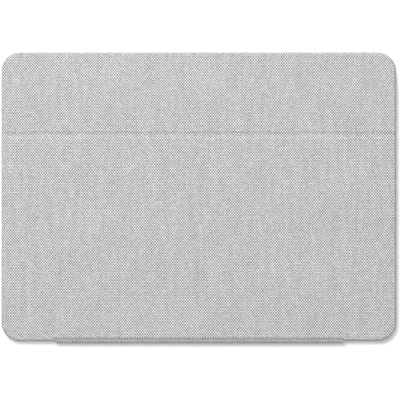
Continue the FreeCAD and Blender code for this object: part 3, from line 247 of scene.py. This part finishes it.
def weave(name, dark, light, depth, attribute=None, speckle=1.0):
    """Plain weave of speckled yarn: warp runs along Y and weft along X, one over and one under.

    An attribute gives a point's place on the cloth as it was cut, and how much painted shade darkens the
    cloth there.
    """
    n = Nodes(name)
    parts = n.tree.nodes.new("ShaderNodeSeparateXYZ")
    n.put(parts.inputs[0], n.place(attribute))
    x, y, crease_shade = parts.outputs
    flat_place = n.add("CombineXYZ", x, y, 0.0)
    other_place = n.add("VectorMath", flat_place, (3.1, 7.7, 0), operation="ADD")
    stray, stray_scale = 0.3, 75.0
    stray_x = n.spread(n.noise(flat_place, scale=stray_scale, detail=1.0), 0.25, 0.75, -stray, stray)
    stray_y = n.spread(n.noise(other_place, scale=stray_scale, detail=1.0), 0.25, 0.75, -stray, stray)
    across = n.maths("ADD", n.maths("DIVIDE", x, WARP_PITCH), stray_x)
    along = n.maths("ADD", n.maths("DIVIDE", y, WEFT_PITCH), stray_y)
    warp_yarn, weft_yarn = n.maths("FLOOR", across), n.maths("FLOOR", along)
    over = n.maths("FLOORED_MODULO", n.maths("ADD", warp_yarn, weft_yarn), 2.0)

    round_warp = n.maths("SINE", n.maths("MULTIPLY", n.maths("FRACT", across), math.pi))
    round_weft = n.maths("SINE", n.maths("MULTIPLY", n.maths("FRACT", along), math.pi))
    crossed = n.maths("MULTIPLY", round_warp, round_weft)
    rounded = n.add("Mix", over, None, round_warp, round_weft)
    height = n.maths("MULTIPLY_ADD", crossed, 0.6, n.maths("MULTIPLY", rounded, 0.4))
    warp_twist = n.maths("SINE", n.maths("MULTIPLY_ADD", across, 7.0, n.maths("MULTIPLY", along, 19.0)))
    weft_twist = n.maths("SINE", n.maths("MULTIPLY_ADD", along, 7.0, n.maths("MULTIPLY", across, 19.0)))
    twist = n.add("Mix", over, None, warp_twist, weft_twist)
    n.bump(n.maths("MULTIPLY_ADD", twist, 0.05, height), distance=depth, strength=0.8)

    warp_slub, weft_slub = n.maths("MULTIPLY", along, 0.62), n.maths("MULTIPLY", across, 0.55)
    warp_place = n.add("CombineXYZ", n.maths("MULTIPLY", warp_yarn, 7.31), warp_slub, 3.7)
    weft_place = n.add("CombineXYZ", weft_slub, n.maths("MULTIPLY", weft_yarn, 5.17), 9.1)
    warp_tone = n.span(n.noise(warp_place, scale=1.0, detail=1.0), 0.76, 0.98)
    weft_tone = n.span(n.noise(weft_place, scale=1.0, detail=1.0), -0.1, 0.3)
    tone = n.add("Mix", over, None, warp_tone, weft_tone)
    fibre = n.span(n.noise(flat_place, scale=2600.0), -0.1 * speckle, 0.1 * speckle)
    # Painted shade: the cloth is darker in the dips between the yarns and a little lighter on their crowns.
    gap_shade = n.spread(height, 0.0, 0.6, -0.32, 0.05)
    row_tone = n.spread(n.maths("FLOORED_MODULO", weft_yarn, 2.0), 0.0, 1.0, -0.04, 0.04)
    streak_place = n.add("CombineXYZ", x, n.maths("MULTIPLY", y, 0.12), 5.3)
    streak = n.span(n.noise(streak_place, scale=260.0, detail=1.0), -0.035, 0.035)
    shade = n.maths("ADD", n.maths("ADD", tone, fibre), gap_shade)
    shade = n.maths("MULTIPLY_ADD", twist, 0.045, shade)
    # Painted shade: the cloth is darkened where the attribute asks, which on the cover is the crease's upper
    # wall.
    if attribute:
        shade = n.maths("MULTIPLY_ADD", crease_shade, -0.03, shade)
    shade = n.maths("ADD", shade, n.maths("ADD", row_tone, streak))
    return n.finish(Base_Color=n.tint(shade, dark, light), Roughness=0.9, Specular_IOR_Level=0.25,
                    Sheen_Weight=0.12, Sheen_Roughness=0.6)


CORNER_ROUND = 0.012
underside = cut_sheet("underside_cloth", "keyboard_fabric", CORNER_ROUND, edge=0.0002)
underside.data.materials.append(weave("speckled_weave", DARK_YARN, LIGHT_YARN, YARN_DEPTH))
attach(underside, "keyboard")
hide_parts("keyboard_fabric")


# Keyboard shell and deck
# Two shallow mouldings in matt grey plastic, held together by six small screws from below.
# A fine spark-eroded grain covers them, a little rubbed and lighter here and there.
def dress(material, *names):
    """Give the CAD solids of these names a finish in place of their plain one."""
    for name in names:
        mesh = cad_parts[name].data
        mesh.materials.clear()
        mesh.materials.append(material)


def moulding(name, colour, grain, depth, rough, gloss=0.2, vary=0.06):
    """Moulded plastic with a fine grain, and a slow change of tone and gloss over the surface."""
    n = Nodes(name)
    place = n.place()
    fine = n.noise(place, scale=1 / grain, detail=3.0)
    slow = n.noise(place, scale=38.0, detail=3.0)
    dark = [c * (1 - vary) for c in colour]
    light = [min(1.0, c * (1 + vary)) for c in colour]
    tone = n.maths("ADD", n.maths("MULTIPLY", slow, 0.75), n.maths("MULTIPLY", fine, 0.25))
    n.bump(fine, distance=depth, strength=0.5)
    return n.finish(Base_Color=n.tint(n.spread(tone, 0.35, 0.65, 0, 1), dark, light),
                    Roughness=n.span(slow, rough - 0.06, rough + 0.06), Specular_IOR_Level=gloss)


dress(moulding("shell_grain", (0.42, 0.42, 0.43), grain=0.00035, depth=0.00006, rough=0.62), "base_shell")
dress(moulding("deck_grain", (0.5, 0.5, 0.51), grain=0.0003, depth=0.00005, rough=0.62), "keyboard_deck")


# Plated steel small parts
# Screws, hinge pins, rivets, leaves and the spine's anchor bar are plain steel, brushed along the hinge.
# The magnets, their keepers and the plate under the keys are nickel plated.
# All of it has a slightly uneven shine.
def plated(name, colour, rough, lines):
    """Bare metal with brush lines along X and an uneven shine."""
    n = Nodes(name)
    stretched = n.add("Mapping", n.place(), None, None, (lines, 1.0, 1.0))
    brushed = n.noise(stretched, scale=4200.0)
    cloudy = n.noise(n.place(), scale=120.0)
    dark = [c * 0.9 for c in colour]
    n.bump(brushed, distance=0.00002, strength=0.4)
    return n.finish(Base_Color=n.tint(n.span(cloudy, 0, 1), dark, colour), Metallic=1.0,
                    Roughness=n.span(brushed, rough - 0.07, rough + 0.07))


dress(plated("hinge_steel_brushed", (0.6, 0.6, 0.61), rough=0.34, lines=0.05),
      "hinge_fixed_leaves", "hinge_moving_leaves", "hinge_pins", "hinge_rivets_fixed", "hinge_rivets_moving",
      "deck_screws", "spine_anchor_bar")
dress(plated("nickel_plate", (0.65, 0.65, 0.66), rough=0.2, lines=1.0),
      "keyboard_magnets", "tray_magnets", "kickstand_magnets", "kickstand_keepers", "key_backplate")


# Keyboard electronics
# Two foil cells, a green circuit board with the charging socket and the slide switch, and the light pipe.
# They lie in the shell round the trackpad and behind the keys, and the tactile switch is under the trackpad.
# A clear membrane with the keys' contacts lies over the backplate.
def foil():
    """Pouch foil: pale metal with soft wrinkles."""
    n = Nodes("cell_foil_wrinkled")
    wrinkle = n.noise(n.place(), scale=260.0, detail=4.0)
    n.bump(wrinkle, distance=0.00025, strength=0.5)
    return n.finish(Base_Color=n.tint(wrinkle, (0.58, 0.58, 0.58), (0.74, 0.74, 0.73)), Metallic=0.85,
                    Roughness=n.span(wrinkle, 0.3, 0.48))


def circuit():
    """Green solder mask with lighter copper tracks showing through it."""
    n = Nodes("circuit_green")
    tracks = n.tree.nodes.new("ShaderNodeTexBrick")
    n.put(tracks.inputs["Vector"], n.place())
    tracks.inputs["Scale"].default_value = 320.0
    tracks.inputs["Color1"].default_value = (0.015, 0.12, 0.05, 1)
    tracks.inputs["Color2"].default_value = (0.02, 0.15, 0.06, 1)
    tracks.inputs["Mortar"].default_value = (0.05, 0.24, 0.09, 1)
    tracks.inputs["Mortar Size"].default_value = 0.04
    n.bump(tracks.outputs["Fac"], distance=0.00003, strength=0.6)
    return n.finish(Base_Color=tracks.outputs["Color"], Roughness=0.4)


dress(foil(), "battery_left", "battery_right")
dress(circuit(), "controller_board")
dress(plated("socket_steel", (0.62, 0.62, 0.63), rough=0.26, lines=1.0), "charge_socket")
dress(moulding("switch_black", (0.03, 0.03, 0.032), grain=0.00025, depth=0.00004, rough=0.5),
      "slide_switch", "trackpad_switch")
dress(moulding("slider_pale", (0.55, 0.55, 0.56), grain=0.00025, depth=0.00004, rough=0.5), "power_slider")
dress(moulding("light_pipe_clear", (0.85, 0.85, 0.85), grain=0.0004, depth=0.00002, rough=0.2,
               gloss=0.6, vary=0.03), "status_light")
dress(moulding("membrane_film_clear", (0.66, 0.67, 0.69), grain=0.0008, depth=0.00003, rough=0.24,
               gloss=0.6, vary=0.08), "membrane_sheet")


# Scissor links and rubber domes
# Under each key a pair of white moulded frames crosses like scissors, round a milky silicone dome.
# A pressed row pushes its frames flat and its domes in; here both are made row by row, in their shape at
# rest.
PITCH = 0.0168
KEY_WIDTHS = {
    "function": (1.25,) + (1,) * 12 + (1.25,),
    "number": (1,) * 13 + (1.5,),
    "upper_letter": (1.5,) + (1,) * 13,
    "home_letter": (1.75,) + (1,) * 11 + (1.75,),
    "lower_letter": (2.25,) + (1,) * 10 + (2.25,),
    "bottom_row": (1, 1, 1, 1.25, 5, 1.25, 1, 1, 1, 1),
}
SPACE_BAR, STACKED = 4, 8
STACK_SHIFT = 0.00405


def key_centres(row):
    """Every key of a row from the typist's left, which is +X: its number in the row, and its middle."""
    low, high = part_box(row + "_keys")
    y = (low.y + high.y) / 2
    left = sum(KEY_WIDTHS[row]) / 2
    for number, width in enumerate(KEY_WIDTHS[row]):
        x = (left - width / 2) * PITCH
        left -= width
        if row == "bottom_row" and number == STACKED:
            yield number, Vector((x, y - STACK_SHIFT, 0))
            yield number, Vector((x, y + STACK_SHIFT, 0))
        else:
            yield number, Vector((x, y, 0))


key_places = {row: list(key_centres(row)) for row in KEY_WIDTHS}


def join(name, copies):
    """Copies made one piece, with their places in its mesh."""
    only(copies[0])
    for copy in copies:
        copy.select_set(True)
    bpy.ops.object.join()
    piece = bpy.context.object
    piece.name = piece.data.name = name
    bpy.ops.object.transform_apply(location=True, rotation=True, scale=True)
    return piece


def copy_of(piece, place, scale=1.0):
    """A copy with a mesh of its own, moved to its place."""
    copy = piece.copy()
    copy.data = piece.data.copy()
    bpy.context.scene.collection.objects.link(copy)
    copy.location = place
    copy.scale = (scale, scale, 1)
    return copy


def silicone():
    """Milky silicone, a little cloudy."""
    n = Nodes("silicone_milky")
    cloud = n.noise(n.place(), scale=420.0)
    n.bump(cloud, distance=0.00004, strength=0.4)
    return n.finish(Base_Color=n.tint(cloud, (0.62, 0.63, 0.64), (0.76, 0.76, 0.76)), Roughness=0.45,
                    Subsurface_Weight=0.15, Subsurface_Scale=0.001)


dome_low, dome_high = (corner.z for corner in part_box("rubber_domes"))
dome_foot, dome_head = 0.0021, 0.0011
dome_ease, dimple_rim, dimple_deep = 0.0003, 0.0004, 0.00025
only(None)
bpy.ops.mesh.primitive_cone_add(vertices=14, radius1=dome_foot, radius2=dome_head, depth=dome_high - dome_low,
                                location=(0, 0, (dome_low + dome_high) / 2))
dome = bpy.context.object
bpy.ops.object.transform_apply(location=True, rotation=True, scale=True)
pick(dome, "EDGE", lambda a, b: min(a.z, b.z) > dome_high - SLACK)
bpy.ops.mesh.bevel(offset=dome_ease, segments=2, affect="EDGES")
pick(dome, "FACE", lambda *points: min(p.z for p in points) > dome_high - SLACK)
bpy.ops.mesh.inset(thickness=dimple_rim)
bpy.ops.transform.translate(value=(0, 0, -dimple_deep))
smooth(dome)

dome_finish = silicone()
link_finish = moulding("link_white", (0.74, 0.74, 0.73), grain=0.0004, depth=0.00004, rough=0.5)
short_share, bar_share, pressed_share = 0.65, 0.3, 0.68
bar_left, bar_right = (corner.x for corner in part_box("space_bar"))
bar_reach = bar_share * (bar_right - bar_left)
under_keys = {row: [] for row in (*KEY_WIDTHS, "space_bar")}
for row, keys in key_places.items():
    for number, middle in keys:
        if row == "bottom_row" and number == SPACE_BAR:
            for side in (-bar_reach, bar_reach):
                under_keys["space_bar"].append((middle + Vector((side, 0, 0)), 1.0))
        else:
            short = row == "function" or (row == "bottom_row" and number == STACKED)
            under_keys[row].append((middle, short_share if short else 1.0))
for row, places in under_keys.items():
    domes = join(row + "_domes", [copy_of(dome, middle, scale) for middle, scale in places])
    domes.data.materials.append(dome_finish)
    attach(domes, "keyboard")
    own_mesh(domes)
    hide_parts("rubber_domes")
    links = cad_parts[row + "_links"].copy()
    links.parent = None
    links.data = links.data.copy()
    for key in list(links.keys()):
        del links[key]
    bpy.context.scene.collection.objects.link(links)
    links.name = links.data.name = row + "_scissors"
    pick(links, "VERT", lambda a: True)
    bpy.ops.mesh.remove_doubles(threshold=SLACK)
    only(links)
    bpy.ops.object.shade_flat()
    links.data.materials.clear()
    links.data.materials.append(link_finish)
    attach(links, "keyboard")
    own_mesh(links)
    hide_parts(row + "_links")
bpy.data.objects.remove(dome)


# Keys and their legends
# Pale matt caps with eased edges, snapped on the scissor links, a little uneven in tone and shine.
# The legends are plain letters, figures and words printed in dark grey ink.
dress(moulding("key_cap_grain", (0.6, 0.6, 0.6), grain=0.0003, depth=0.00004, rough=0.6, vary=0.05),
      *(row + "_keys" for row in KEY_WIDTHS), "space_bar")


def ink():
    """Dark pad-printed ink, slightly uneven."""
    n = Nodes("legend_ink")
    patchy = n.noise(n.place(), scale=1800.0)
    return n.finish(Base_Color=n.tint(patchy, (0.035, 0.035, 0.04), (0.06, 0.06, 0.065)), Roughness=0.6)


LEGENDS = {
    "function": ("esc", "F1", "F2", "F3", "F4", "F5", "F6", "F7", "F8", "F9", "F10", "F11", "F12", "lock"),
    "number": ("`", "1", "2", "3", "4", "5", "6", "7", "8", "9", "0", "-", "=", "delete"),
    "upper_letter": ("tab", "Q", "W", "E", "R", "T", "Y", "U", "I", "O", "P", "[", "]", "\\"),
    "home_letter": ("caps", "A", "S", "D", "F", "G", "H", "J", "K", "L", ";", "'", "enter"),
    "lower_letter": ("shift", "Z", "X", "C", "V", "B", "N", "M", ",", ".", "/", "shift"),
    "bottom_row": ("fn", "ctrl", "alt", "sym", "", "alt", "ctrl", "left", "up and down", "right"),
}
ARROW_TURNS = {"left": -90, "right": 90, "up": 180, "down": 0}
letter_size, word_size, function_size = 0.0052, 0.0034, 0.003
arrow_radius = 0.0013
ink_thick, ink_rise = 0.00002, 0.000005
ink_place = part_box("number_keys")[1].z + ink_rise
ink_finish = ink()


def legend(text, middle, size):
    """A thin layer of ink in the shape of text that reads from the typist's side, at +Y."""
    only(None)
    bpy.ops.object.text_add()
    words = bpy.context.object
    words.data.body = text
    words.data.size = size
    words.data.align_x, words.data.align_y = "CENTER", "CENTER"
    words.data.resolution_u = 3
    words.data.extrude = ink_thick / 2
    bpy.ops.object.convert(target="MESH")
    words = bpy.context.object
    words.rotation_euler = (0, 0, math.pi)
    words.location = (middle.x, middle.y, ink_place)
    return words


def arrow(middle, degrees):
    """A small printed triangle that points along its key's direction."""
    only(None)
    bpy.ops.mesh.primitive_cylinder_add(vertices=3, radius=arrow_radius, depth=ink_thick)
    tip = bpy.context.object
    tip.rotation_euler = (0, 0, math.radians(degrees))
    tip.location = (middle.x, middle.y, ink_place)
    return tip


for row, words in LEGENDS.items():
    printed = []
    stack = ["up", "down"]
    for number, middle in key_places[row]:
        text = words[number]
        if text == "up and down":
            printed.append(arrow(middle, ARROW_TURNS[stack.pop(0)]))
        elif text in ARROW_TURNS:
            printed.append(arrow(middle, ARROW_TURNS[text]))
        elif text:
            long_size = function_size if row == "function" else word_size
            printed.append(legend(text, middle, letter_size if len(text) == 1 else long_size))
    legends = join(row + "_legends", printed)
    pick(legends, "VERT", lambda a: True)
    bpy.ops.mesh.remove_doubles(threshold=SLACK / 10)
    only(legends)
    legends.data.materials.clear()
    legends.data.materials.append(ink_finish)
    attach(legends, row + "_keys")


# Trackpad
# A smooth satin plate, hinged on two pins at its key side so that its front edge clicks down.
# Fingers have left slow patches on it a little shinier than the rest.
def satin():
    """Satin coating over a very fine grain, polished in slow patches."""
    n = Nodes("trackpad_satin")
    place = n.place()
    worn = n.noise(place, scale=26.0)
    fine = n.noise(place, scale=5200.0)
    n.bump(fine, distance=0.00001, strength=0.4)
    return n.finish(Base_Color=n.tint(worn, (0.47, 0.47, 0.48), (0.52, 0.52, 0.53)),
                    Roughness=n.span(worn, 0.42, 0.54), Specular_IOR_Level=0.25)


dress(satin(), "trackpad")


# Spine
# A strip of the weave in darker yarn joins the keyboard to the tray, stiffened by a thin board.
# It is glued under the keyboard, folds up the back, and turns in over the tray under the stand's lower edge.
# Its left end is trimmed at a slant, so that it runs out towards the case.
spine_low, spine_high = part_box("spine_fabric")
spine_side, spine_back = spine_high.x, spine_low.y
spine_thick = spine_high.y - spine_low.y
case_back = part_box("spine_lining")[1].y
run_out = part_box("spine_lining")[0].x + spine_side
low_fold, high_fold = spine_low.z, spine_high.z
half_way = (low_fold + high_fold) / 2
fold_bottom, fold_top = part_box("lower_spine_crease")[0].z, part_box("upper_spine_crease")[1].z
tail_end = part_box("lower_spine_crease")[1].y
notch_gap, flap_gap = 0.0003, 0.00005
notch_side, notch_top = spine_side + notch_gap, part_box("upper_spine_flap")[1].y + notch_gap
flap_end = notch_top - flap_gap


def thicken(cloth, thick):
    """Give a cloth that is drawn by its outer face its thickness, inwards."""
    only(cloth)
    wall = cloth.modifiers.new("thickness", "SOLIDIFY")
    wall.thickness, wall.offset = thick, -1
    bpy.ops.object.modifier_apply(modifier="thickness")


def cloth_strip(name, path, woven=0.0):
    """A strip drawn along a path of (y, z) points in its outer face, trimmed, and thickened inwards.

    Its weave starts at the length that is woven before it.
    """
    (y0, z0), (y1, z1) = path[:2]
    only(None)
    bpy.ops.mesh.primitive_plane_add(size=1, location=(0, 0, 0))
    strip = bpy.context.object
    strip.name = strip.data.name = name
    for vertex in strip.data.vertices:
        vertex.co = (math.copysign(spine_side, vertex.co.x), *((y0, z0) if vertex.co.y > 0 else (y1, z1)))
    pick(strip, "EDGE", lambda a, b: max(abs(p.y - y1) + abs(p.z - z1) for p in (a, b)) < SLACK)
    for (y, z), (next_y, next_z) in zip(path[1:], path[2:]):
        bpy.ops.mesh.extrude_edges_move(TRANSFORM_OT_translate={"value": (0, next_y - y, next_z - z)})
    bpy.ops.mesh.select_all(action="SELECT")
    bpy.ops.mesh.flip_normals()
    bpy.ops.mesh.bisect(plane_co=(-spine_side, case_back, 0), plane_no=(spine_back - case_back, -run_out, 0),
                        clear_outer=True, threshold=SLACK)
    only(strip)
    measure = strip.data.attributes.new("cloth", "FLOAT_VECTOR", "POINT")
    run = [woven]
    for point, next_point in zip(path, path[1:]):
        run.append(run[-1] + math.dist(point, next_point))
    for vertex in strip.data.vertices:
        step = min(range(len(path)), key=lambda i: math.dist(path[i], vertex.co.yz))
        measure.data[vertex.index].vector = (vertex.co.x, run[step], 0)
    thicken(strip, spine_thick)
    smooth(strip)
    return strip


def quarter(y, z, radius, start, end, steps=6):
    """Points of a quarter turn about (y, z), in degrees from +Y towards +Z."""
    turns = [math.radians(start + (end - start) * i / steps) for i in range(steps + 1)]
    return [(y + radius * math.cos(t), z + radius * math.sin(t)) for t in turns]


tight_fold, soft_fold = low_fold - fold_bottom, 0.0012
lower_path = [(tail_end, fold_bottom), (case_back, fold_bottom)]
lower_path += quarter(spine_back + tight_fold, low_fold, tight_fold, 270, 180)
lower_path.append((spine_back, half_way))
upper_path = [(spine_back, half_way)]
upper_path += quarter(spine_back + soft_fold, fold_top - soft_fold, soft_fold, 180, 90)
upper_path += [(case_back, fold_top), (flap_end, fold_top)]
lower_length = sum(math.dist(a, b) for a, b in zip(lower_path, lower_path[1:]))
lower_cloth = cloth_strip("spine_cloth_lower", lower_path)
upper_cloth = cloth_strip("spine_cloth_upper", upper_path, lower_length)

spine_weave = weave("speckled_weave_spine", dark=(0.16,) * 3, light=(0.69,) * 3, depth=0.00015,
                    attribute="cloth", speckle=0.5)
for cloth in (lower_cloth, upper_cloth):
    cloth.data.materials.append(spine_weave)
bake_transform(lower_cloth)
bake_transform(upper_cloth)
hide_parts("lower_spine_crease", "spine_fabric")
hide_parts("upper_spine_crease", "upper_spine_flap", "spine_fabric")


# Linings
# Soft grey microfibre is glued inside the spine, on the floor of the tray, and on the stand's inner face.
# Its nap is short and fine, and faintly cloudy where the pile lies down.
def microfibre():
    """Short fine nap with slow cloudy patches."""
    n = Nodes("microfibre_nap")
    place = n.place()
    nap = n.noise(place, scale=4300.0)
    cloud = n.noise(place, scale=60.0, detail=3.0)
    tone = n.maths("ADD", n.maths("MULTIPLY", nap, 0.85), n.maths("MULTIPLY", cloud, 0.15))
    n.bump(nap, distance=0.00012, strength=0.7)
    return n.finish(Base_Color=n.tint(n.spread(tone, 0.35, 0.65, 0, 1), (0.3, 0.3, 0.31), (0.42, 0.42, 0.43)),
                    Roughness=0.95, Sheen_Weight=0.35, Sheen_Roughness=0.5, Specular_IOR_Level=0.2)


nap_finish = microfibre()
leaf_low, leaf_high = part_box("hinge_moving_leaves")
stand_low, stand_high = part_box("kickstand_lining")
leaf_side_gap, leaf_back_gap = 0.0001, 0.00005
leaf_inner, leaf_outer = 0.0648, leaf_high.x + leaf_side_gap
leaf_back = leaf_low.y - leaf_back_gap
stand_rooms = (
    (-leaf_outer, -leaf_inner, leaf_back, stand_high.y),
    (leaf_inner, leaf_outer, leaf_back, stand_high.y),
    (-notch_side, notch_side, stand_low.y, notch_top),
)


def stand_corner(a):
    """Whether a point is one of the stand's two lower corners."""
    return abs(a.x) > stand_high.x - SLACK and a.y < 0


for name, node, body, radius, edge, rounded, rooms, behind in (
    ("spine_nap", "spine_lining", "spine", 0, 0.0001, None, (), "spine_board"),
    ("tray_nap", "tray_lining", "tray", 0.0087, 0.00015, lambda a: True, (), "tray_shell"),
    ("stand_nap", "kickstand_lining", "kickstand", 0.0115, 0.00015, stand_corner, stand_rooms,
     "kickstand_board"),
):
    lining = cut_sheet(name, node, radius, edge, rounded, rooms)
    lining.data.materials.append(nap_finish)
    low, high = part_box(node)
    size = high - low
    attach(lining, body)
    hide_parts(node)
    max(size.y, size.z)


# Tray and its buttons
# The tablet sits in a moulded tray with a soft lip round it, which stretches over the tablet's edge.
# Slots open for the speakers and the plug, and three soft buttons stand over the tablet's own.
dress(moulding("tray_grain", (0.42, 0.42, 0.43), grain=0.00035, depth=0.00006, rough=0.6), "tray_shell")
dress(moulding("bumper_soft", (0.4, 0.4, 0.41), grain=0.00028, depth=0.00004, rough=0.78), "tray_bumper")
dress(moulding("button_soft", (0.36, 0.36, 0.37), grain=0.00028, depth=0.00004, rough=0.7),
      "volume_up_button", "volume_down_button", "power_button")


# Stiffening boards
# Dark sheets stiffen the back, the stand and the spine, cut to shape and laminated under the cloth.
# Their faces are plain and slightly fibrous.
def board_sheet():
    """Dark pressed sheet with a faint fibre."""
    n = Nodes("board_dark")
    stretched = n.add("Mapping", n.place(), None, None, (0.2, 1.0, 1.0))
    fibre = n.noise(stretched, scale=1500.0, detail=3.0)
    n.bump(fibre, distance=0.00004, strength=0.5)
    return n.finish(Base_Color=n.tint(fibre, (0.17, 0.17, 0.18), (0.24, 0.24, 0.25)), Roughness=0.7)


dress(board_sheet(), "upper_back_spacer", "upper_back_board", "kickstand_board", "spine_board")


# Outer cover
# One piece of the speckled weave covers the upper back, the crease and the stand, wrapped round their edges.
# Between the two boards the cloth is pressed into a shallow trough, which is where the stand folds out.
edge_round, rim_inset, cover_thick = 0.0016, 0.0006, 0.00045
cover_low, cover_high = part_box("kickstand_fabric")[0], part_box("upper_back_fabric")[1]
cover = plane_piece("outer_cover", cover_low, cover_high, cover_high.z)
cut_away(cover, -notch_side, notch_side, cover_low.y, notch_top)
pick(cover, "VERT", lambda a: abs(a.x) > cover_high.x - SLACK)
bpy.ops.mesh.bevel(offset=CORNER_ROUND, offset_type="OFFSET", segments=14, affect="VERTICES")
draw_out(cover, cover_low.z - cover_high.z)
pick(cover, "FACE", lambda *points: max(p.z for p in points) < cover_low.z + SLACK)
bpy.ops.mesh.delete(type="ONLY_FACE")
pick(cover, "EDGE", lambda a, b: min(a.z, b.z) > cover_high.z - SLACK
     and not (max(abs(a.x), abs(b.x)) < notch_side + SLACK and max(a.y, b.y) < notch_top + SLACK))
bpy.ops.mesh.bevel(offset=edge_round, segments=6, affect="EDGES")
pick(cover, "FACE", lambda *points: min(p.z for p in points) > cover_high.z - SLACK)
bpy.ops.mesh.inset(thickness=rim_inset)

stand_gap, upper_gap = 0.0008, 0.001
trough_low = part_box("kickstand_board")[1].y + stand_gap
trough_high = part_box("upper_back_board")[0].y - upper_gap
low_ramp, high_ramp = 0.0022, 0.0015
trough_deep = 0.00036
floor_cuts, ramp_cuts = 8, 6
for cut in range(floor_cuts + 1):
    slice_across(cover, (0, trough_low + (trough_high - trough_low) * cut / floor_cuts, 0), (0, 1, 0))
for cut in range(1, ramp_cuts + 2):
    slice_across(cover, (0, trough_low - low_ramp * cut / ramp_cuts, 0), (0, 1, 0))
    slice_across(cover, (0, trough_high + high_ramp * cut / ramp_cuts, 0), (0, 1, 0))
only(cover)


def up_the_ramp(y):
    """How far up the trough's ramps a line across the cover lies: 0 on its floor, 1 and more outside it."""
    return max((trough_low - y) / low_ramp, (y - trough_high) / high_ramp, 0)


upper_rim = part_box("upper_back_fabric")[0].z
for vertex in cover.data.vertices:
    away = up_the_ramp(vertex.co.y)
    share = max(0.0, (vertex.co.z - cover_low.z) / (cover_high.z - cover_low.z))
    if away < 1:
        vertex.co.z -= trough_deep * share * (0.5 + 0.5 * math.cos(math.pi * away))
    if vertex.co.y > trough_high + high_ramp and vertex.co.z < cover_low.z + SLACK:
        vertex.co.z = upper_rim

measure = cover.data.attributes.new("cloth", "FLOAT_VECTOR", "POINT")
for vertex in cover.data.vertices:
    x, y, z = vertex.co
    near_x = min(max(x, cover_low.x + CORNER_ROUND), cover_high.x - CORNER_ROUND)
    near_y = min(max(y, cover_low.y + CORNER_ROUND), cover_high.y - CORNER_ROUND)
    out = Vector((x - near_x, y - near_y))
    drop = max(cover_high.z - z - (trough_deep if up_the_ramp(y) < 1 else 0), 0)
    # Painted shade in the crease: strongest halfway up the trough's upper ramp, and none at the ramp's ends.
    crease_shade = max(0.0, 1 - abs(2 * (y - trough_high) / high_ramp - 1))
    if out.length > SLACK:
        x += out.x / out.length * drop
        y += out.y / out.length * drop
    measure.data[vertex.index].vector = (x, y, crease_shade)
thicken(cover, cover_thick)
smooth(cover)
cover.data.materials.append(weave("speckled_weave_cover", DARK_YARN, LIGHT_YARN, YARN_DEPTH, "cloth"))
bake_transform(cover)
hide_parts("upper_back_fabric", "crease_fabric", "kickstand_fabric")


# Studio
# A white table under a soft lamp overhead and a wide one like a window, with a little light from all round.
# The table lets the lamp below it through, and its own white grows towards the horizon.
# The camera looks straight down from far above.
def looked_at(n):
    """1 for a ray that shows a surface directly, in a shine or through something clear, and 0 for others."""
    rays = n.tree.nodes.new("ShaderNodeLightPath").outputs
    mirrored = n.maths("MAXIMUM", rays["Is Glossy Ray"], rays["Is Transmission Ray"])
    return n.maths("MAXIMUM", rays["Is Camera Ray"], mirrored)


only(None)
table_size, table_drop = 6, 0.0001
bpy.ops.mesh.primitive_plane_add(size=table_size, location=(0, 0, -table_drop))
table = bpy.context.object
table.name = "table"
paper = Nodes("table_white")
bounce_white, seen_white = (0.45,) * 3, (0.88,) * 3
near_edge, far_edge = 0.4, 1.6
near_glow, far_glow = 0.38, 1.0
shown = looked_at(paper)
far = paper.add("VectorMath", paper.place(), operation="LENGTH", out="Value")
whiter = paper.spread(far, near_edge, far_edge, near_glow, far_glow)
glow = paper.add("Emission", None, paper.maths("MULTIPLY", shown, whiter))
glowing = paper.add("AddShader", paper.shader.outputs[0], glow)
shadow = paper.add("LightPath", out="Is Shadow Ray")
clear = paper.maths("MAXIMUM", paper.add("NewGeometry", out="Backfacing"), shadow)
surface = paper.add("MixShader", clear, glowing, paper.add("BsdfTransparent"))
paper.put(paper.tree.nodes["Material Output"].inputs["Surface"], surface)
table.data.materials.append(paper.finish(Base_Color=paper.tint(shown, bounce_white, seen_white),
                                         Roughness=0.9, Specular_IOR_Level=0.1))

sky = Nodes("studio", bpy.data.worlds, "Background")
fill_light, seen_light = 0.13, 1.0
strength = sky.spread(looked_at(sky), 0, 1, fill_light, seen_light)
bpy.context.scene.world = sky.finish(Color=(1, 1, 1, 1), Strength=strength)

for name, place, size, power in (
    ("overhead_lamp", (-0.16, 0.205, 1.9), 0.32, 27.2),
    ("window_lamp", (-0.5, 1.83, 0.89), 0.7, 27.0),
    ("under_lamp", (0, 0, -1.6), 0.3, 12.0),
):
    only(None)
    bpy.ops.object.light_add(type="AREA", location=place)
    lamp = bpy.context.object
    lamp.name = lamp.data.name = name
    lamp.data.shape = "SQUARE"
    lamp.data.size = size
    lamp.data.energy = power
    lamp.rotation_euler = (-Vector(place)).to_track_quat("-Z", "Y").to_euler()

only(None)
view_x, view_y, view_width = 0.00090, -0.0015, 0.259
distance, sensor = 2.4, 36.0
bpy.ops.object.camera_add(location=(view_x, view_y, solid_box[1].z + distance), rotation=(0, 0, 0))
camera = bpy.context.object
camera.data.sensor_width = sensor
camera.data.lens = sensor * distance / view_width
camera.data.clip_start, camera.data.clip_end = 0.05, 50.0
bpy.context.scene.camera = camera
bpy.context.scene.view_settings.view_transform = "Standard"
